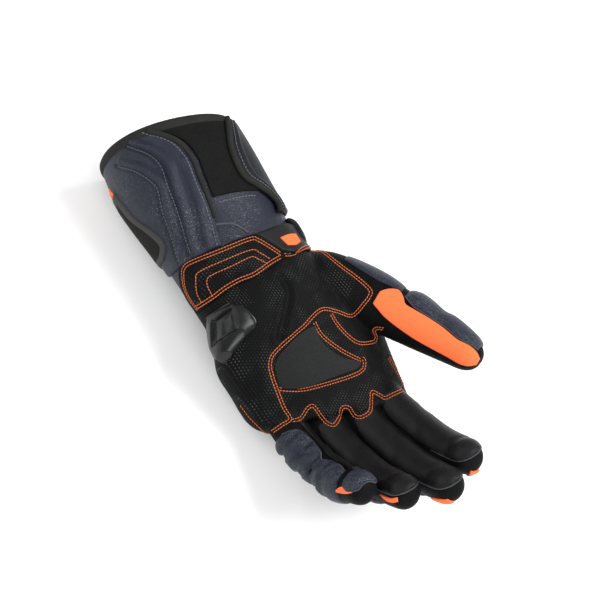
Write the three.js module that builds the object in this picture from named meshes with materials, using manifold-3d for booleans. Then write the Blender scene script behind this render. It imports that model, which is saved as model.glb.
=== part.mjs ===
// A left-hand motorcycle racing gauntlet, lying on its back with the palm up.
// Millimetres. +X points to the little finger, +Y to the fingertips and +Z out of the palm.
// The origin is on the surface that the glove rests on, under the middle of its box.
import * as THREE from "three";
import { mergeVertices } from "three/addons/utils/BufferGeometryUtils.js";
import Module from "manifold-3d";

// Driving sizes of the glove
const CUFF_LENGTH = 123; // mouth of the gauntlet to the wrist
const HAND_LENGTH = 96; // wrist to the webs between the fingers
const MOUTH_WIDTH = 89;
const MOUTH_DEPTH = 84;
const WRIST_WIDTH = 90;
const WRIST_DEPTH = 58;
const HAND_WIDTH = 112; // across the knuckles
const HAND_DEPTH = 42;
const ARCH_HEIGHT = 13; // rise of the wrist's back above the floor
const FINGER_LENGTH = 98; // middle finger, web to tip, along its curl
const FINGER_WIDTH = 25;
const THUMB_LENGTH = 139;
const THUMB_WIDTH = 31;

// Thicknesses and clearances
const LEATHER = 2.4; // the glove's wall, leather and lining together
const OVERLAY = 1.4; // a second layer of leather sewn on top
const GAP = 0.3; // between two pieces that meet edge to edge
const LAYER_GAP = 0.7; // between two pieces that lie one on the other

// Fineness of the facets
const BODY_SIDES = 32;
const FINGER_SIDES = 12;
const RING_STEP = 13;

const wasm = await Module();
wasm.setup();

const degrees = Math.PI / 180;

// Smooth value of one column of a table, whose rows are ordered by the column named key
function smooth(rows, key, column, at) {
  const last = rows.length - 1;
  let i = rows.findIndex((row) => row[key] > at) - 1;
  if (i === -2) i = last - 1;
  i = Math.max(0, Math.min(last - 1, i));
  const slope = (k) => {
    const a = rows[Math.max(0, k - 1)];
    const b = rows[Math.min(last, k + 1)];
    return (b[column] - a[column]) / (b[key] - a[key]);
  };
  const span = rows[i + 1][key] - rows[i][key];
  const s = Math.max(0, Math.min(1, (at - rows[i][key]) / span));
  const [s2, s3] = [s * s, s * s * s];
  return (
    (2 * s3 - 3 * s2 + 1) * rows[i][column] +
    (s3 - 2 * s2 + s) * span * slope(i) +
    (3 * s2 - 2 * s3) * rows[i + 1][column] +
    (s3 - s2) * span * slope(i + 1)
  );
}

// Sections of the cuff and palm. reach is -1 at the mouth, 0 at the wrist and 1 at the webs.
// mouth, wrist and knuckle are the shares in which a section follows the three named widths and depths,
// side is a share of the hand's width, skew and lean are how far the section slopes across and upward.
const bodySections = [
  { reach: -1.0, mouth: 1.0, wrist: 0.0, knuckle: 0.0, thick: 1.0, side: 0.065, arch: -0.2, skew: -0.25, lean: -0.04, square: 2.2 },
  { reach: -0.8, mouth: 1.0, wrist: 0.05, knuckle: 0.0, thick: 0.95, side: 0.085, arch: -0.1, skew: -0.15, lean: -0.02, square: 2.2 },
  { reach: -0.45, mouth: 0.45, wrist: 0.55, knuckle: 0.0, thick: 0.97, side: 0.07, arch: 0.4, skew: 0.0, lean: 0.0, square: 2.3 },
  { reach: -0.15, mouth: 0.05, wrist: 0.95, knuckle: 0.0, thick: 1.0, side: 0.07, arch: 0.85, skew: 0.0, lean: 0.0, square: 2.3 },
  { reach: 0.08, mouth: 0.0, wrist: 0.98, knuckle: 0.05, thick: 1.0, side: 0.06, arch: 0.85, skew: 0.0, lean: 0.0, square: 2.3 },
  { reach: 0.3, mouth: 0.0, wrist: 0.6, knuckle: 0.49, thick: 1.06, side: 0.05, arch: 0.4, skew: 0.0, lean: 0.0, square: 2.4 },
  { reach: 0.5, mouth: 0.0, wrist: 0.2, knuckle: 0.9, thick: 1.16, side: -0.015, arch: 0.0, skew: -0.05, lean: 0.0, square: 2.4 },
  { reach: 0.75, mouth: 0.0, wrist: 0.0, knuckle: 1.03, thick: 1.2, side: -0.015, arch: -0.15, skew: -0.14, lean: 0.0, square: 2.4 },
  { reach: 0.9, mouth: 0.0, wrist: 0.0, knuckle: 0.97, thick: 1.1, side: -0.01, arch: 0.15, skew: -0.24, lean: 0.0, square: 2.4 },
  { reach: 1.0, mouth: 0.0, wrist: 0.0, knuckle: 0.9, thick: 0.88, side: -0.01, arch: 0.95, skew: -0.3, lean: 0.0, square: 2.4 },
];

// Distance from the wrist at a reach
const distance = (reach) => reach * (reach < 0 ? CUFF_LENGTH : HAND_LENGTH);

const power = (value, exponent) => Math.sign(value) * Math.abs(value) ** exponent;

// A point of the cuff and palm. turn is 0 at the little finger's side, 90 on the palm, 180 at the thumb.
// Leather that would pass below the surface lies flat on it.
function bodyPoint(turn, reach, offset) {
  const at = (column) => smooth(bodySections, "reach", column, reach);
  const width = at("mouth") * MOUTH_WIDTH + at("wrist") * WRIST_WIDTH + at("knuckle") * HAND_WIDTH;
  const depth =
    (at("mouth") * MOUTH_DEPTH + at("wrist") * WRIST_DEPTH + at("knuckle") * HAND_DEPTH) * at("thick");
  const round = 2 / at("square");
  const across = (width / 2 + offset) * power(Math.cos(turn * degrees), round);
  const up = (depth / 2 + offset) * power(Math.sin(turn * degrees), round);
  return new THREE.Vector3(
    at("side") * HAND_WIDTH + across,
    distance(reach) + at("skew") * across + at("lean") * up,
    Math.max(-offset, at("arch") * ARCH_HEIGHT + depth / 2 + up),
  );
}

// Fingers, from the index to the little finger. across is a share of the hand's width and root of its
// length, long and wide are shares of the finger's named sizes, and the angles are in degrees.
const fingers = [
  { name: "index", across: -0.31, root: 1.04, long: 0.91, wide: 1.0, yaw: -4, bend: 0, curl: 8, hook: 54, slip: -36 },
  { name: "middle", across: -0.09, root: 1.06, long: 1.0, wide: 1.0, yaw: -3, bend: 0, curl: 8, hook: 54, slip: -30 },
  { name: "ring", across: 0.125, root: 0.98, long: 0.97, wide: 0.96, yaw: 0, bend: 0, curl: 4, hook: 58, slip: 14 },
  { name: "little", across: 0.345, root: 0.86, long: 0.93, wide: 0.94, yaw: 0, bend: 0, curl: 3, hook: 62, slip: 14 },
];
// Thickness of a finger along its length, from inside the palm to the tip, as a share of its width
const fingerShape = [
  { at: 0.0, wide: 0.98, deep: 0.94 },
  { at: 0.35, wide: 1.0, deep: 0.98 },
  { at: 0.6, wide: 1.0, deep: 1.0 },
  { at: 0.85, wide: 0.96, deep: 0.96 },
  { at: 1.0, wide: 0.9, deep: 0.9 },
];
const thumbShape = [
  { at: 0.0, wide: 0.85, deep: 0.85 },
  { at: 0.12, wide: 1.22, deep: 1.15 },
  { at: 0.3, wide: 1.27, deep: 1.2 },
  { at: 0.55, wide: 1.15, deep: 1.08 },
  { at: 0.8, wide: 0.92, deep: 0.86 },
  { at: 1.0, wide: 0.7, deep: 0.68 },
];
const FINGER_ROOT = 22; // length of a finger's tube that lies inside the palm

// The axis of a curled finger, as places with their directions, a step apart
function curledAxis(start, length, { yaw, bend, curl, hook }) {
  const steps = 60;
  const place = start.clone();
  const axis = [];
  for (let i = 0; i <= steps; i += 1) {
    const s = i / steps;
    const pitch = (curl + (hook - curl) * s * s * (3 - 2 * s)) * degrees;
    const heading = (yaw + bend * s) * degrees;
    const forward = new THREE.Vector3(
      Math.sin(heading) * Math.cos(pitch),
      Math.cos(heading) * Math.cos(pitch),
      Math.sin(pitch),
    );
    axis.push({ place: place.clone(), forward });
    place.addScaledVector(forward, length / steps);
  }
  return axis;
}

// A point of a finger or thumb. turn is 0 at its side towards +X and 90 on its palm side; s runs from 0 to 1.
function digitPoint(digit, turn, s, offset) {
  const step = Math.max(0, Math.min(1, s)) * (digit.axis.length - 1);
  const low = Math.min(digit.axis.length - 2, Math.floor(step));
  const [a, b] = [digit.axis[low], digit.axis[low + 1]];
  const place = a.place.clone().lerp(b.place, step - low);
  const forward = a.forward.clone().lerp(b.forward, step - low).normalize();
  const sideways = new THREE.Vector3().crossVectors(forward, digit.palmward).normalize();
  const upward = new THREE.Vector3().crossVectors(sideways, forward);
  const tip = Math.max(0, (s - digit.dome) / (1 - digit.dome));
  const closing = Math.sqrt(Math.max(0, 1 - tip * tip));
  const wide = (smooth(digit.shape, "at", "wide", s) * digit.width) / 2;
  const deep = (smooth(digit.shape, "at", "deep", s) * digit.width) / 2;
  place.addScaledVector(sideways, (wide + offset) * closing * Math.cos(turn * degrees));
  place.addScaledVector(upward, (deep + offset) * closing * Math.sin(turn * degrees));
  return place.addScaledVector(forward, offset * tip);
}

function makeFinger(row) {
  const width = row.wide * FINGER_WIDTH;
  const length = row.long * FINGER_LENGTH + FINGER_ROOT;
  const start = new THREE.Vector3(
    row.across * HAND_WIDTH,
    row.root * HAND_LENGTH - FINGER_ROOT,
    ARCH_HEIGHT * 0.9 + (0.9 * HAND_DEPTH) / 2 - 1,
  );
  return {
    name: row.name,
    width,
    shape: fingerShape,
    axis: curledAxis(start, length, row),
    dome: 1 - (0.42 * width) / length,
    palmward: new THREE.Vector3(0, 0, 1),
  };
}

const THUMB = { across: -0.28, root: -0.06, high: 0.46, yaw: -32, bend: 15, curl: 14, hook: 20 };
const thumbStart = new THREE.Vector3(
  THUMB.across * HAND_WIDTH,
  THUMB.root * HAND_LENGTH,
  ARCH_HEIGHT + THUMB.high * WRIST_DEPTH,
);
const thumb = {
  name: "thumb",
  width: THUMB_WIDTH,
  shape: thumbShape,
  axis: curledAxis(thumbStart, THUMB_LENGTH, THUMB),
  dome: 1 - (0.45 * THUMB_WIDTH) / THUMB_LENGTH,
  palmward: new THREE.Vector3(0.5, 0, 1).normalize(),
};
const digits = [...fingers.map(makeFinger), thumb];

// A closed solid from points and triangles, turned so that its faces point out
function solid(points, triangles) {
  let volume = 0;
  for (const [a, b, c] of triangles) {
    volume += points[a].dot(new THREE.Vector3().crossVectors(points[b], points[c]));
  }
  const faces = volume < 0 ? triangles.map(([a, b, c]) => [a, c, b]) : triangles;
  const geometry = new THREE.BufferGeometry();
  geometry.setAttribute("position", new THREE.Float32BufferAttribute(points.flatMap((p) => p.toArray()), 3));
  geometry.setIndex(faces.flat());
  const merged = mergeVertices(geometry, 1e-4);
  return new wasm.Manifold(
    new wasm.Mesh({
      numProp: 3,
      vertProperties: merged.attributes.position.array,
      triVerts: new Uint32Array(merged.index.array),
    }),
  );
}

// A solid from rings of points. Its ends close with a fan each, or join each other if it is a loop.
function ringSolid(rings, loop = false) {
  const points = rings.flat();
  const count = rings[0].length;
  const triangles = [];
  const spans = loop ? rings.length : rings.length - 1;
  for (let k = 0; k < spans; k += 1) {
    for (let i = 0; i < count; i += 1) {
      const j = (i + 1) % count;
      const next = (k + 1) % rings.length;
      const [a, b, c, d] = [k * count + i, k * count + j, next * count + j, next * count + i];
      triangles.push([a, b, c], [a, c, d]);
    }
  }
  if (!loop) {
    for (const [ring, first] of [[rings[0], 0], [rings[rings.length - 1], (rings.length - 1) * count]]) {
      const centre = ring.reduce((sum, p) => sum.add(p), new THREE.Vector3()).divideScalar(count);
      points.push(centre);
      for (let i = 0; i < count; i += 1) {
        const [a, b] = [first + i, first + ((i + 1) % count)];
        triangles.push(first ? [points.length - 1, a, b] : [points.length - 1, b, a]);
      }
    }
  }
  return solid(points, triangles);
}

const range = (count, from, to) => Array.from({ length: count + 1 }, (_, i) => from + ((to - from) * i) / count);
const turns = (sides) => Array.from({ length: sides }, (_, i) => (360 * i) / sides);

// The cuff and palm between two reaches, as a full solid
function bodySolid(from, to, offset) {
  const steps = Math.max(2, Math.round((distance(to) - distance(from)) / RING_STEP));
  const rings = range(steps, from, to).map((reach) => turns(BODY_SIDES).map((turn) => bodyPoint(turn, reach, offset)));
  return ringSolid(rings);
}

// A finger or thumb as a full solid, from its root to its rounded tip
function digitSolid(digit, offset) {
  const straight = range(8, 0, digit.dome);
  const domed = [35, 65].map((angle) => digit.dome + (1 - digit.dome) * Math.sin(angle * degrees));
  const rings = [...straight, ...domed].map((s) =>
    turns(FINGER_SIDES).map((turn) => digitPoint(digit, turn, s, offset)),
  );
  return ringSolid(rings);
}

function largest(made) {
  return made.decompose().sort((a, b) => b.volume() - a.volume())[0];
}

// Gauntlet, hand and digits, hollow
const WEB_WALL = LEATHER / HAND_LENGTH;
const SEAM = GAP / HAND_LENGTH;
const bodyInside = bodySolid(-1.2, 1 - WEB_WALL, -LEATHER);
const digitInsides = digits.map((digit) => digitSolid(digit, -LEATHER));
const hollow = digitInsides.reduce((sum, inside) => sum.add(inside), bodyInside);

const cuff = bodySolid(-1, -SEAM, 0).subtract(hollow);
const hand = bodySolid(0, 1, 0).subtract(hollow);
const handRoom = bodySolid(-1, 0, GAP).add(bodySolid(0, 1, GAP)).add(bodySolid(0.9, 1 + SEAM, GAP));

const pieces = [];
const add = (name, made, colour, roughness = 0.7, metalness = 0) => {
  pieces.push({ name, made, colour, roughness, metalness });
};

const NAVY = 0x2a303f;
const BLACK = 0x1b1b1b;
const GREY = 0x4c4c4c;
const ORANGE = 0xff7a45;

add("gauntlet_cuff", cuff, NAVY);
add("hand_shell", hand, BLACK);
digits.forEach((digit, i) => {
  let made = digitSolid(digit, 0).subtract(handRoom).subtract(hollow);
  for (const other of digits.slice(0, i)) made = made.subtract(digitSolid(other, GAP));
  add(`${digit.name}_stall`, largest(made), BLACK);
});

const RIB_HEIGHT = 1.2; // rise of a stitched rib above its panel

const between = (a, b, share) => a + (b - a) * share;

// A panel sewn on a surface. Each row of its table is a line from one edge, at turn and reach, to the
// other, at turnTo and reachTo. rise is the row's share of the panel's thickness, soft the edge's share.
function panel(pointAt, rows, { low, thick, columns, shares = range(columns, 0, 1), fine = 1, soft = 0.5, ribs = [] }) {
  const lines = range((rows.length - 1) * fine, 0, rows.length - 1).map((at) => {
    const k = Math.min(rows.length - 2, Math.floor(at));
    const mix = (column, other = 0) => between(rows[k][column] ?? other, rows[k + 1][column] ?? other, at - k);
    return { turn: mix("turn"), reach: mix("reach"), turnTo: mix("turnTo"), reachTo: mix("reachTo"), rise: mix("rise", 1) };
  });
  const last = shares.length - 1;
  const sheet = (height) =>
    lines.map((line, k) =>
      shares.map((share, i) => {
        const border = k % (lines.length - 1) === 0 || i % last === 0;
        const rib = !border && ribs.includes(share) ? RIB_HEIGHT : 0;
        const offset = low + height * ((border ? soft : 1) * line.rise * thick + rib);
        return pointAt(between(line.turn, line.turnTo, share), between(line.reach, line.reachTo, share), offset);
      }),
    );
  const [count, wide] = [lines.length, shares.length];
  const points = [...sheet(0).flat(), ...sheet(1).flat()];
  const lift = count * wide;
  const triangles = [];
  for (let k = 0; k < count - 1; k += 1) {
    for (let i = 0; i < last; i += 1) {
      const [p, q, r, t] = [k * wide + i, k * wide + i + 1, (k + 1) * wide + i + 1, (k + 1) * wide + i];
      triangles.push([p, r, q], [p, t, r], [lift + p, lift + q, lift + r], [lift + p, lift + r, lift + t]);
    }
  }
  const rim = [
    ...range(last - 1, 0, last - 1),
    ...range(count - 2, 0, count - 2).map((k) => k * wide + last),
    ...range(last - 1, 0, last - 1).map((i) => count * wide - 1 - i),
    ...range(count - 2, 0, count - 2).map((k) => (count - 1 - k) * wide),
  ];
  rim.forEach((p, i) => {
    const q = rim[(i + 1) % rim.length];
    triangles.push([p, q, lift + q], [p, lift + q, lift + p]);
  });
  return solid(points, triangles);
}

// A cord-like roll along a line of points
function roll(line, radius, sides = 6, loop = false) {
  const rings = line.map((place, k) => {
    const [from, to] = loop
      ? [line[(k + line.length - 1) % line.length], line[(k + 1) % line.length]]
      : [line[Math.max(0, k - 1)], line[Math.min(line.length - 1, k + 1)]];
    const forward = to.clone().sub(from).normalize();
    const sideways = new THREE.Vector3(0, 0, 1).cross(forward).normalize();
    const upward = forward.clone().cross(sideways);
    return turns(sides).map((turn) =>
      place
        .clone()
        .addScaledVector(sideways, radius * Math.cos(turn * degrees))
        .addScaledVector(upward, radius * Math.sin(turn * degrees)),
    );
  });
  return ringSolid(rings, loop);
}

// Rolled binding of the mouth, just outside the edge of the cuff
const BINDING = 2.4;
const rimRings = turns(36).map((turn) => {
  const middle = bodyPoint(turn, -1, -BINDING);
  const outward = bodyPoint(turn, -1, 0).sub(middle).normalize();
  middle.y -= BINDING + GAP;
  return turns(6).map((around) =>
    middle
      .clone()
      .addScaledVector(outward, BINDING * Math.cos(around * degrees))
      .add(new THREE.Vector3(0, -BINDING * Math.sin(around * degrees), 0)),
  );
});
add("mouth_binding", ringSolid(rimRings, true), GREY);

// Closure flap on the little finger's side, ribbed along its bound edge
const ulnarFlap = [
  { turn: -42, reach: -0.985, turnTo: 58, reachTo: -0.985 },
  { turn: -42, reach: -0.92, turnTo: 72, reachTo: -0.92 },
  { turn: -42, reach: -0.86, turnTo: 79, reachTo: -0.86 },
  { turn: -42, reach: -0.77, turnTo: 81, reachTo: -0.77 },
  { turn: -42, reach: -0.67, turnTo: 79, reachTo: -0.67 },
  { turn: -40, reach: -0.57, turnTo: 77, reachTo: -0.56 },
  { turn: -36, reach: -0.47, turnTo: 74, reachTo: -0.46 },
  { turn: -30, reach: -0.37, turnTo: 68, reachTo: -0.32 },
];
const ulnarShares = [0, 0.12, 0.24, 0.36, 0.48, 0.59, 0.66, 0.74, 0.81, 0.88, 0.94, 0.97, 1];
const ulnarRibs = [0.66, 0.81, 0.94];
add("ulnar_flap", panel(bodyPoint, ulnarFlap, { low: LAYER_GAP, thick: OVERLAY, shares: ulnarShares, ribs: ulnarRibs }), NAVY);

// Bound edge of a flap, along one end of the rows of its table
function boundEdge(rows, turnColumn, reachColumn, aside, offset, radius) {
  return roll(rows.map((row) => bodyPoint(row[turnColumn] + aside, row[reachColumn], offset)), radius);
}
add("ulnar_flap_binding", boundEdge(ulnarFlap.slice(0, 7), "turnTo", "reachTo", 2.4, 2.1, 1.2), GREY);

// Hook-and-loop panel between the two flaps
const loopPanel = [
  { turn: 63, reach: -0.985, turnTo: 134, reachTo: -0.985 },
  { turn: 77, reach: -0.92, turnTo: 129, reachTo: -0.92 },
  { turn: 84, reach: -0.86, turnTo: 126, reachTo: -0.86 },
  { turn: 86, reach: -0.77, turnTo: 120, reachTo: -0.76 },
  { turn: 84, reach: -0.67, turnTo: 118, reachTo: -0.65 },
  { turn: 82, reach: -0.56, turnTo: 122, reachTo: -0.5 },
];
add("loop_panel", panel(bodyPoint, loopPanel, { low: LAYER_GAP, thick: 1.1, columns: 6 }), 0x141614, 0.95);

// Closure flap on the thumb's side, which laps over the loop panel
const radialFlap = [
  { turn: 131, reach: -0.985, turnTo: 222, reachTo: -0.985 },
  { turn: 121, reach: -0.87, turnTo: 222, reachTo: -0.87 },
  { turn: 114, reach: -0.77, turnTo: 220, reachTo: -0.77 },
  { turn: 111, reach: -0.65, turnTo: 218, reachTo: -0.66 },
  { turn: 113, reach: -0.58, turnTo: 216, reachTo: -0.59 },
  { turn: 122, reach: -0.52, turnTo: 214, reachTo: -0.52 },
  { turn: 132, reach: -0.46, turnTo: 212, reachTo: -0.46 },
  { turn: 138, reach: -0.4, turnTo: 210, reachTo: -0.4 },
  { turn: 133, reach: -0.34, turnTo: 208, reachTo: -0.34 },
];
const radialShares = [0, 0.07, 0.15, 0.23, 0.35, 0.48, 0.61, 0.74, 0.87, 1];
add("radial_flap", panel(bodyPoint, radialFlap, { low: 2.4, thick: OVERLAY, shares: radialShares, ribs: [0.15] }), NAVY);
add("radial_flap_binding", boundEdge(radialFlap, "turn", "reach", -2.4, 3.5, 1.1), GREY);

// Hard guard on the little finger's side of the cuff, and its inset
const FLAP_TOP = LAYER_GAP + OVERLAY + LAYER_GAP;
const cuffGuard = [
  { turn: -40, reach: -0.82, turnTo: 0, reachTo: -0.83 },
  { turn: -46, reach: -0.75, turnTo: 4, reachTo: -0.75 },
  { turn: -48, reach: -0.66, turnTo: 8, reachTo: -0.66 },
  { turn: -48, reach: -0.57, turnTo: 20, reachTo: -0.57 },
  { turn: -46, reach: -0.5, turnTo: 21, reachTo: -0.5 },
  { turn: -42, reach: -0.45, turnTo: 12, reachTo: -0.45 },
  { turn: -34, reach: -0.43, turnTo: 2, reachTo: -0.43 },
];
add("cuff_guard", panel(bodyPoint, cuffGuard, { low: FLAP_TOP, thick: 1.8, columns: 6 }), GREY, 0.5);
const guardInset = [
  { turn: -32, reach: -0.77, turnTo: -8, reachTo: -0.77 },
  { turn: -38, reach: -0.68, turnTo: 0, reachTo: -0.68 },
  { turn: -38, reach: -0.58, turnTo: 11, reachTo: -0.58 },
  { turn: -34, reach: -0.5, turnTo: 11, reachTo: -0.5 },
  { turn: -28, reach: -0.465, turnTo: -2, reachTo: -0.465 },
];
add("guard_inset", panel(bodyPoint, guardInset, { low: FLAP_TOP + 2.5, thick: 1.2, columns: 5 }), BLACK, 0.8);

// Stitched patch across the wrist
const wristPatch = [
  { turn: 0, reach: -0.18, turnTo: 0, reachTo: -0.14 },
  { turn: 6, reach: -0.27, turnTo: 6, reachTo: -0.11 },
  { turn: 21, reach: -0.335, turnTo: 21, reachTo: -0.1 },
  { turn: 44, reach: -0.315, turnTo: 44, reachTo: -0.1 },
  { turn: 67, reach: -0.295, turnTo: 67, reachTo: -0.1 },
  { turn: 89, reach: -0.273, turnTo: 87, reachTo: -0.1 },
  { turn: 98, reach: -0.2, turnTo: 96, reachTo: -0.11 },
  { turn: 104, reach: -0.14, turnTo: 103, reachTo: -0.12 },
];
add("wrist_patch", panel(bodyPoint, wristPatch, { low: LAYER_GAP, thick: OVERLAY, columns: 3, fine: 2 }), BLACK);

// Wrist strap, round the thumb's side to the back, with its pull tab
const strap = [
  { turn: 94, reach: -0.285, turnTo: 108, reachTo: -0.135 },
  { turn: 112, reach: -0.275, turnTo: 118, reachTo: -0.105 },
  { turn: 132, reach: -0.27, turnTo: 134, reachTo: -0.095 },
  { turn: 152, reach: -0.25, turnTo: 152, reachTo: -0.09 },
  { turn: 175, reach: -0.24, turnTo: 175, reachTo: -0.1 },
  { turn: 200, reach: -0.23, turnTo: 200, reachTo: -0.11 },
  { turn: 222, reach: -0.22, turnTo: 222, reachTo: -0.12 },
];
const strapRaw = panel(bodyPoint, strap, { low: LAYER_GAP, thick: 1.9, columns: 3, fine: 2 });
add("wrist_strap", largest(strapRaw.subtract(digitSolid(thumb, GAP))), BLACK);
const strapTab = [
  { turn: 112, reach: -0.205, turnTo: 115, reachTo: -0.15 },
  { turn: 123, reach: -0.205, turnTo: 125, reachTo: -0.135 },
  { turn: 134, reach: -0.195, turnTo: 134, reachTo: -0.145 },
];
add("strap_tab", panel(bodyPoint, strapTab, { low: 2.9, thick: 1.2, columns: 2, fine: 2 }), ORANGE);

// Smooth patch in the middle of the palm
const palmPatch = [
  { turn: 93, reach: 0.34, turnTo: 99, reachTo: 0.35 },
  { turn: 77, reach: 0.4, turnTo: 98, reachTo: 0.42 },
  { turn: 62, reach: 0.455, turnTo: 98, reachTo: 0.48 },
  { turn: 55, reach: 0.53, turnTo: 100, reachTo: 0.56 },
  { turn: 55, reach: 0.6, turnTo: 104, reachTo: 0.62 },
  { turn: 57, reach: 0.665, turnTo: 112, reachTo: 0.68 },
  { turn: 64, reach: 0.71, turnTo: 113, reachTo: 0.73 },
  { turn: 74, reach: 0.755, turnTo: 108, reachTo: 0.765 },
];
add("palm_patch", panel(bodyPoint, palmPatch, { low: LAYER_GAP, thick: OVERLAY, columns: 6 }), BLACK, 0.5);

// Hard slider on the heel of the palm
const palmSlider = [
  { turn: 5, reach: -0.03, turnTo: 46, reachTo: -0.02, rise: 0.6 },
  { turn: -2, reach: 0.03, turnTo: 53, reachTo: 0.03, rise: 0.9 },
  { turn: -7, reach: 0.1, turnTo: 59, reachTo: 0.1, rise: 1 },
  { turn: -6, reach: 0.16, turnTo: 62, reachTo: 0.17, rise: 1 },
  { turn: 4, reach: 0.22, turnTo: 57, reachTo: 0.21, rise: 0.9 },
  { turn: 12, reach: 0.26, turnTo: 42, reachTo: 0.25, rise: 0.8 },
  { turn: 20, reach: 0.295, turnTo: 29, reachTo: 0.288, rise: 0.6 },
];
add("palm_slider", panel(bodyPoint, palmSlider, { low: LAYER_GAP, thick: 4.2, columns: 6 }), 0x3c3c3e, 0.3);

// Panels and pads on the thumb and fingers, as turn and the share of the digit's length
const onDigit = (digit, rows, options) => {
  const pointAt = (turn, reach, offset) => digitPoint(digit, turn, reach, offset);
  return largest(panel(pointAt, rows, { low: LAYER_GAP, ...options }).subtract(digitSolid(digit, GAP)));
};
const named = (name) => digits.find((digit) => digit.name === name);
const thumbPanel = [
  { turn: 80, reach: 0.41, turnTo: 108, reachTo: 0.415 },
  { turn: 73, reach: 0.45, turnTo: 121, reachTo: 0.45 },
  { turn: 66, reach: 0.5, turnTo: 128, reachTo: 0.5 },
  { turn: 62, reach: 0.54, turnTo: 112, reachTo: 0.545 },
  { turn: 59, reach: 0.6, turnTo: 108, reachTo: 0.6 },
  { turn: 53, reach: 0.69, turnTo: 107, reachTo: 0.69 },
  { turn: 49, reach: 0.78, turnTo: 104, reachTo: 0.78 },
  { turn: 47, reach: 0.86, turnTo: 98, reachTo: 0.86 },
  { turn: 48, reach: 0.93, turnTo: 92, reachTo: 0.93 },
  { turn: 56, reach: 0.975, turnTo: 84, reachTo: 0.975 },
];
add("thumb_panel", onDigit(thumb, thumbPanel, { thick: 1, columns: 4 }), ORANGE, 0.6);
const thumbPad = [
  { turn: 118, reach: 0.56, turnTo: 206, reachTo: 0.56, rise: 0.4 },
  { turn: 113, reach: 0.62, turnTo: 206, reachTo: 0.62, rise: 1 },
  { turn: 112, reach: 0.69, turnTo: 206, reachTo: 0.69, rise: 0.9 },
  { turn: 111, reach: 0.74, turnTo: 206, reachTo: 0.74, rise: 0.5 },
  { turn: 109, reach: 0.79, turnTo: 204, reachTo: 0.79, rise: 1 },
  { turn: 104, reach: 0.86, turnTo: 200, reachTo: 0.86, rise: 0.9 },
  { turn: 100, reach: 0.93, turnTo: 190, reachTo: 0.93, rise: 0.4 },
];
add("thumb_pad", onDigit(thumb, thumbPad, { thick: 3.2, columns: 5 }), NAVY);
const thumbRootPad = [
  { turn: 134, reach: 0.3, turnTo: 206, reachTo: 0.3, rise: 0.3 },
  { turn: 130, reach: 0.36, turnTo: 208, reachTo: 0.36, rise: 1 },
  { turn: 132, reach: 0.43, turnTo: 208, reachTo: 0.43, rise: 0.9 },
  { turn: 137, reach: 0.5, turnTo: 206, reachTo: 0.5, rise: 0.3 },
];
add("thumb_root_pad", onDigit(thumb, thumbRootPad, { thick: 3.4, columns: 5, fine: 2 }), NAVY);

const fingerPad = [
  { turn: 232, reach: 0.36, turnTo: 308, reachTo: 0.36, rise: 0.3 },
  { turn: 226, reach: 0.42, turnTo: 314, reachTo: 0.42, rise: 1 },
  { turn: 226, reach: 0.5, turnTo: 314, reachTo: 0.5, rise: 1 },
  { turn: 228, reach: 0.56, turnTo: 312, reachTo: 0.56, rise: 0.4 },
  { turn: 226, reach: 0.62, turnTo: 314, reachTo: 0.62, rise: 1 },
  { turn: 226, reach: 0.7, turnTo: 314, reachTo: 0.7, rise: 1 },
  { turn: 230, reach: 0.78, turnTo: 310, reachTo: 0.78, rise: 0.3 },
];
for (const name of ["index", "middle", "ring"]) {
  add(`${name}_pad`, onDigit(named(name), fingerPad, { thick: 4, columns: 3 }), NAVY);
}
const littlePad = [
  { turn: -112, reach: 0.25, turnTo: 40, reachTo: 0.25, rise: 0.4 },
  { turn: -118, reach: 0.29, turnTo: 85, reachTo: 0.29, rise: 1 },
  { turn: -120, reach: 0.36, turnTo: 99, reachTo: 0.36, rise: 1 },
  { turn: -120, reach: 0.45, turnTo: 99, reachTo: 0.45, rise: 1 },
  { turn: -120, reach: 0.54, turnTo: 91, reachTo: 0.54, rise: 0.6 },
  { turn: -120, reach: 0.59, turnTo: 74, reachTo: 0.6, rise: 0.4 },
  { turn: -120, reach: 0.65, turnTo: 87, reachTo: 0.66, rise: 1 },
  { turn: -118, reach: 0.74, turnTo: 91, reachTo: 0.75, rise: 1 },
  { turn: -114, reach: 0.82, turnTo: 80, reachTo: 0.83, rise: 0.4 },
];
const littleRaw = onDigit(named("little"), littlePad, { thick: 3.4, columns: 10 });
add("little_pad", largest(littleRaw.subtract(handRoom).subtract(digitSolid(named("ring"), GAP))), NAVY);

// Coloured slips on the tips of the fingers
const tipSlip = [
  { turn: -6, reach: 0.85, turnTo: 0, reachTo: 0.85 },
  { turn: -18, reach: 0.89, turnTo: 6, reachTo: 0.89 },
  { turn: -18, reach: 0.93, turnTo: 10, reachTo: 0.93 },
  { turn: -8, reach: 0.97, turnTo: 8, reachTo: 0.97 },
];
for (const { name, slip } of fingers) {
  const rows = tipSlip.map((row) => ({ ...row, turn: row.turn + slip, turnTo: row.turnTo + slip }));
  add(`${name}_tip_slip`, onDigit(named(name), rows, { thick: 0.9, columns: 2 }), ORANGE);
}

// The glove, set down with the middle of its box over the origin
const glove = new THREE.Group();
for (const { name, made, colour, roughness, metalness } of pieces) {
  const { numProp, vertProperties, triVerts } = made.getMesh();
  const geometry = new THREE.BufferGeometry();
  geometry.setAttribute("position", new THREE.BufferAttribute(new Float32Array(vertProperties), numProp));
  geometry.setIndex(new THREE.BufferAttribute(new Uint32Array(triVerts), 1));
  geometry.computeVertexNormals();
  const mesh = new THREE.Mesh(geometry, new THREE.MeshStandardMaterial({ color: colour, roughness, metalness }));
  mesh.name = name;
  glove.add(mesh);
}
const box = new THREE.Box3().setFromObject(glove);
const middle = box.getCenter(new THREE.Vector3()).setZ(box.min.z);
for (const mesh of glove.children) mesh.geometry.translate(-middle.x, -middle.y, -middle.z);

export default glove;
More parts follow.
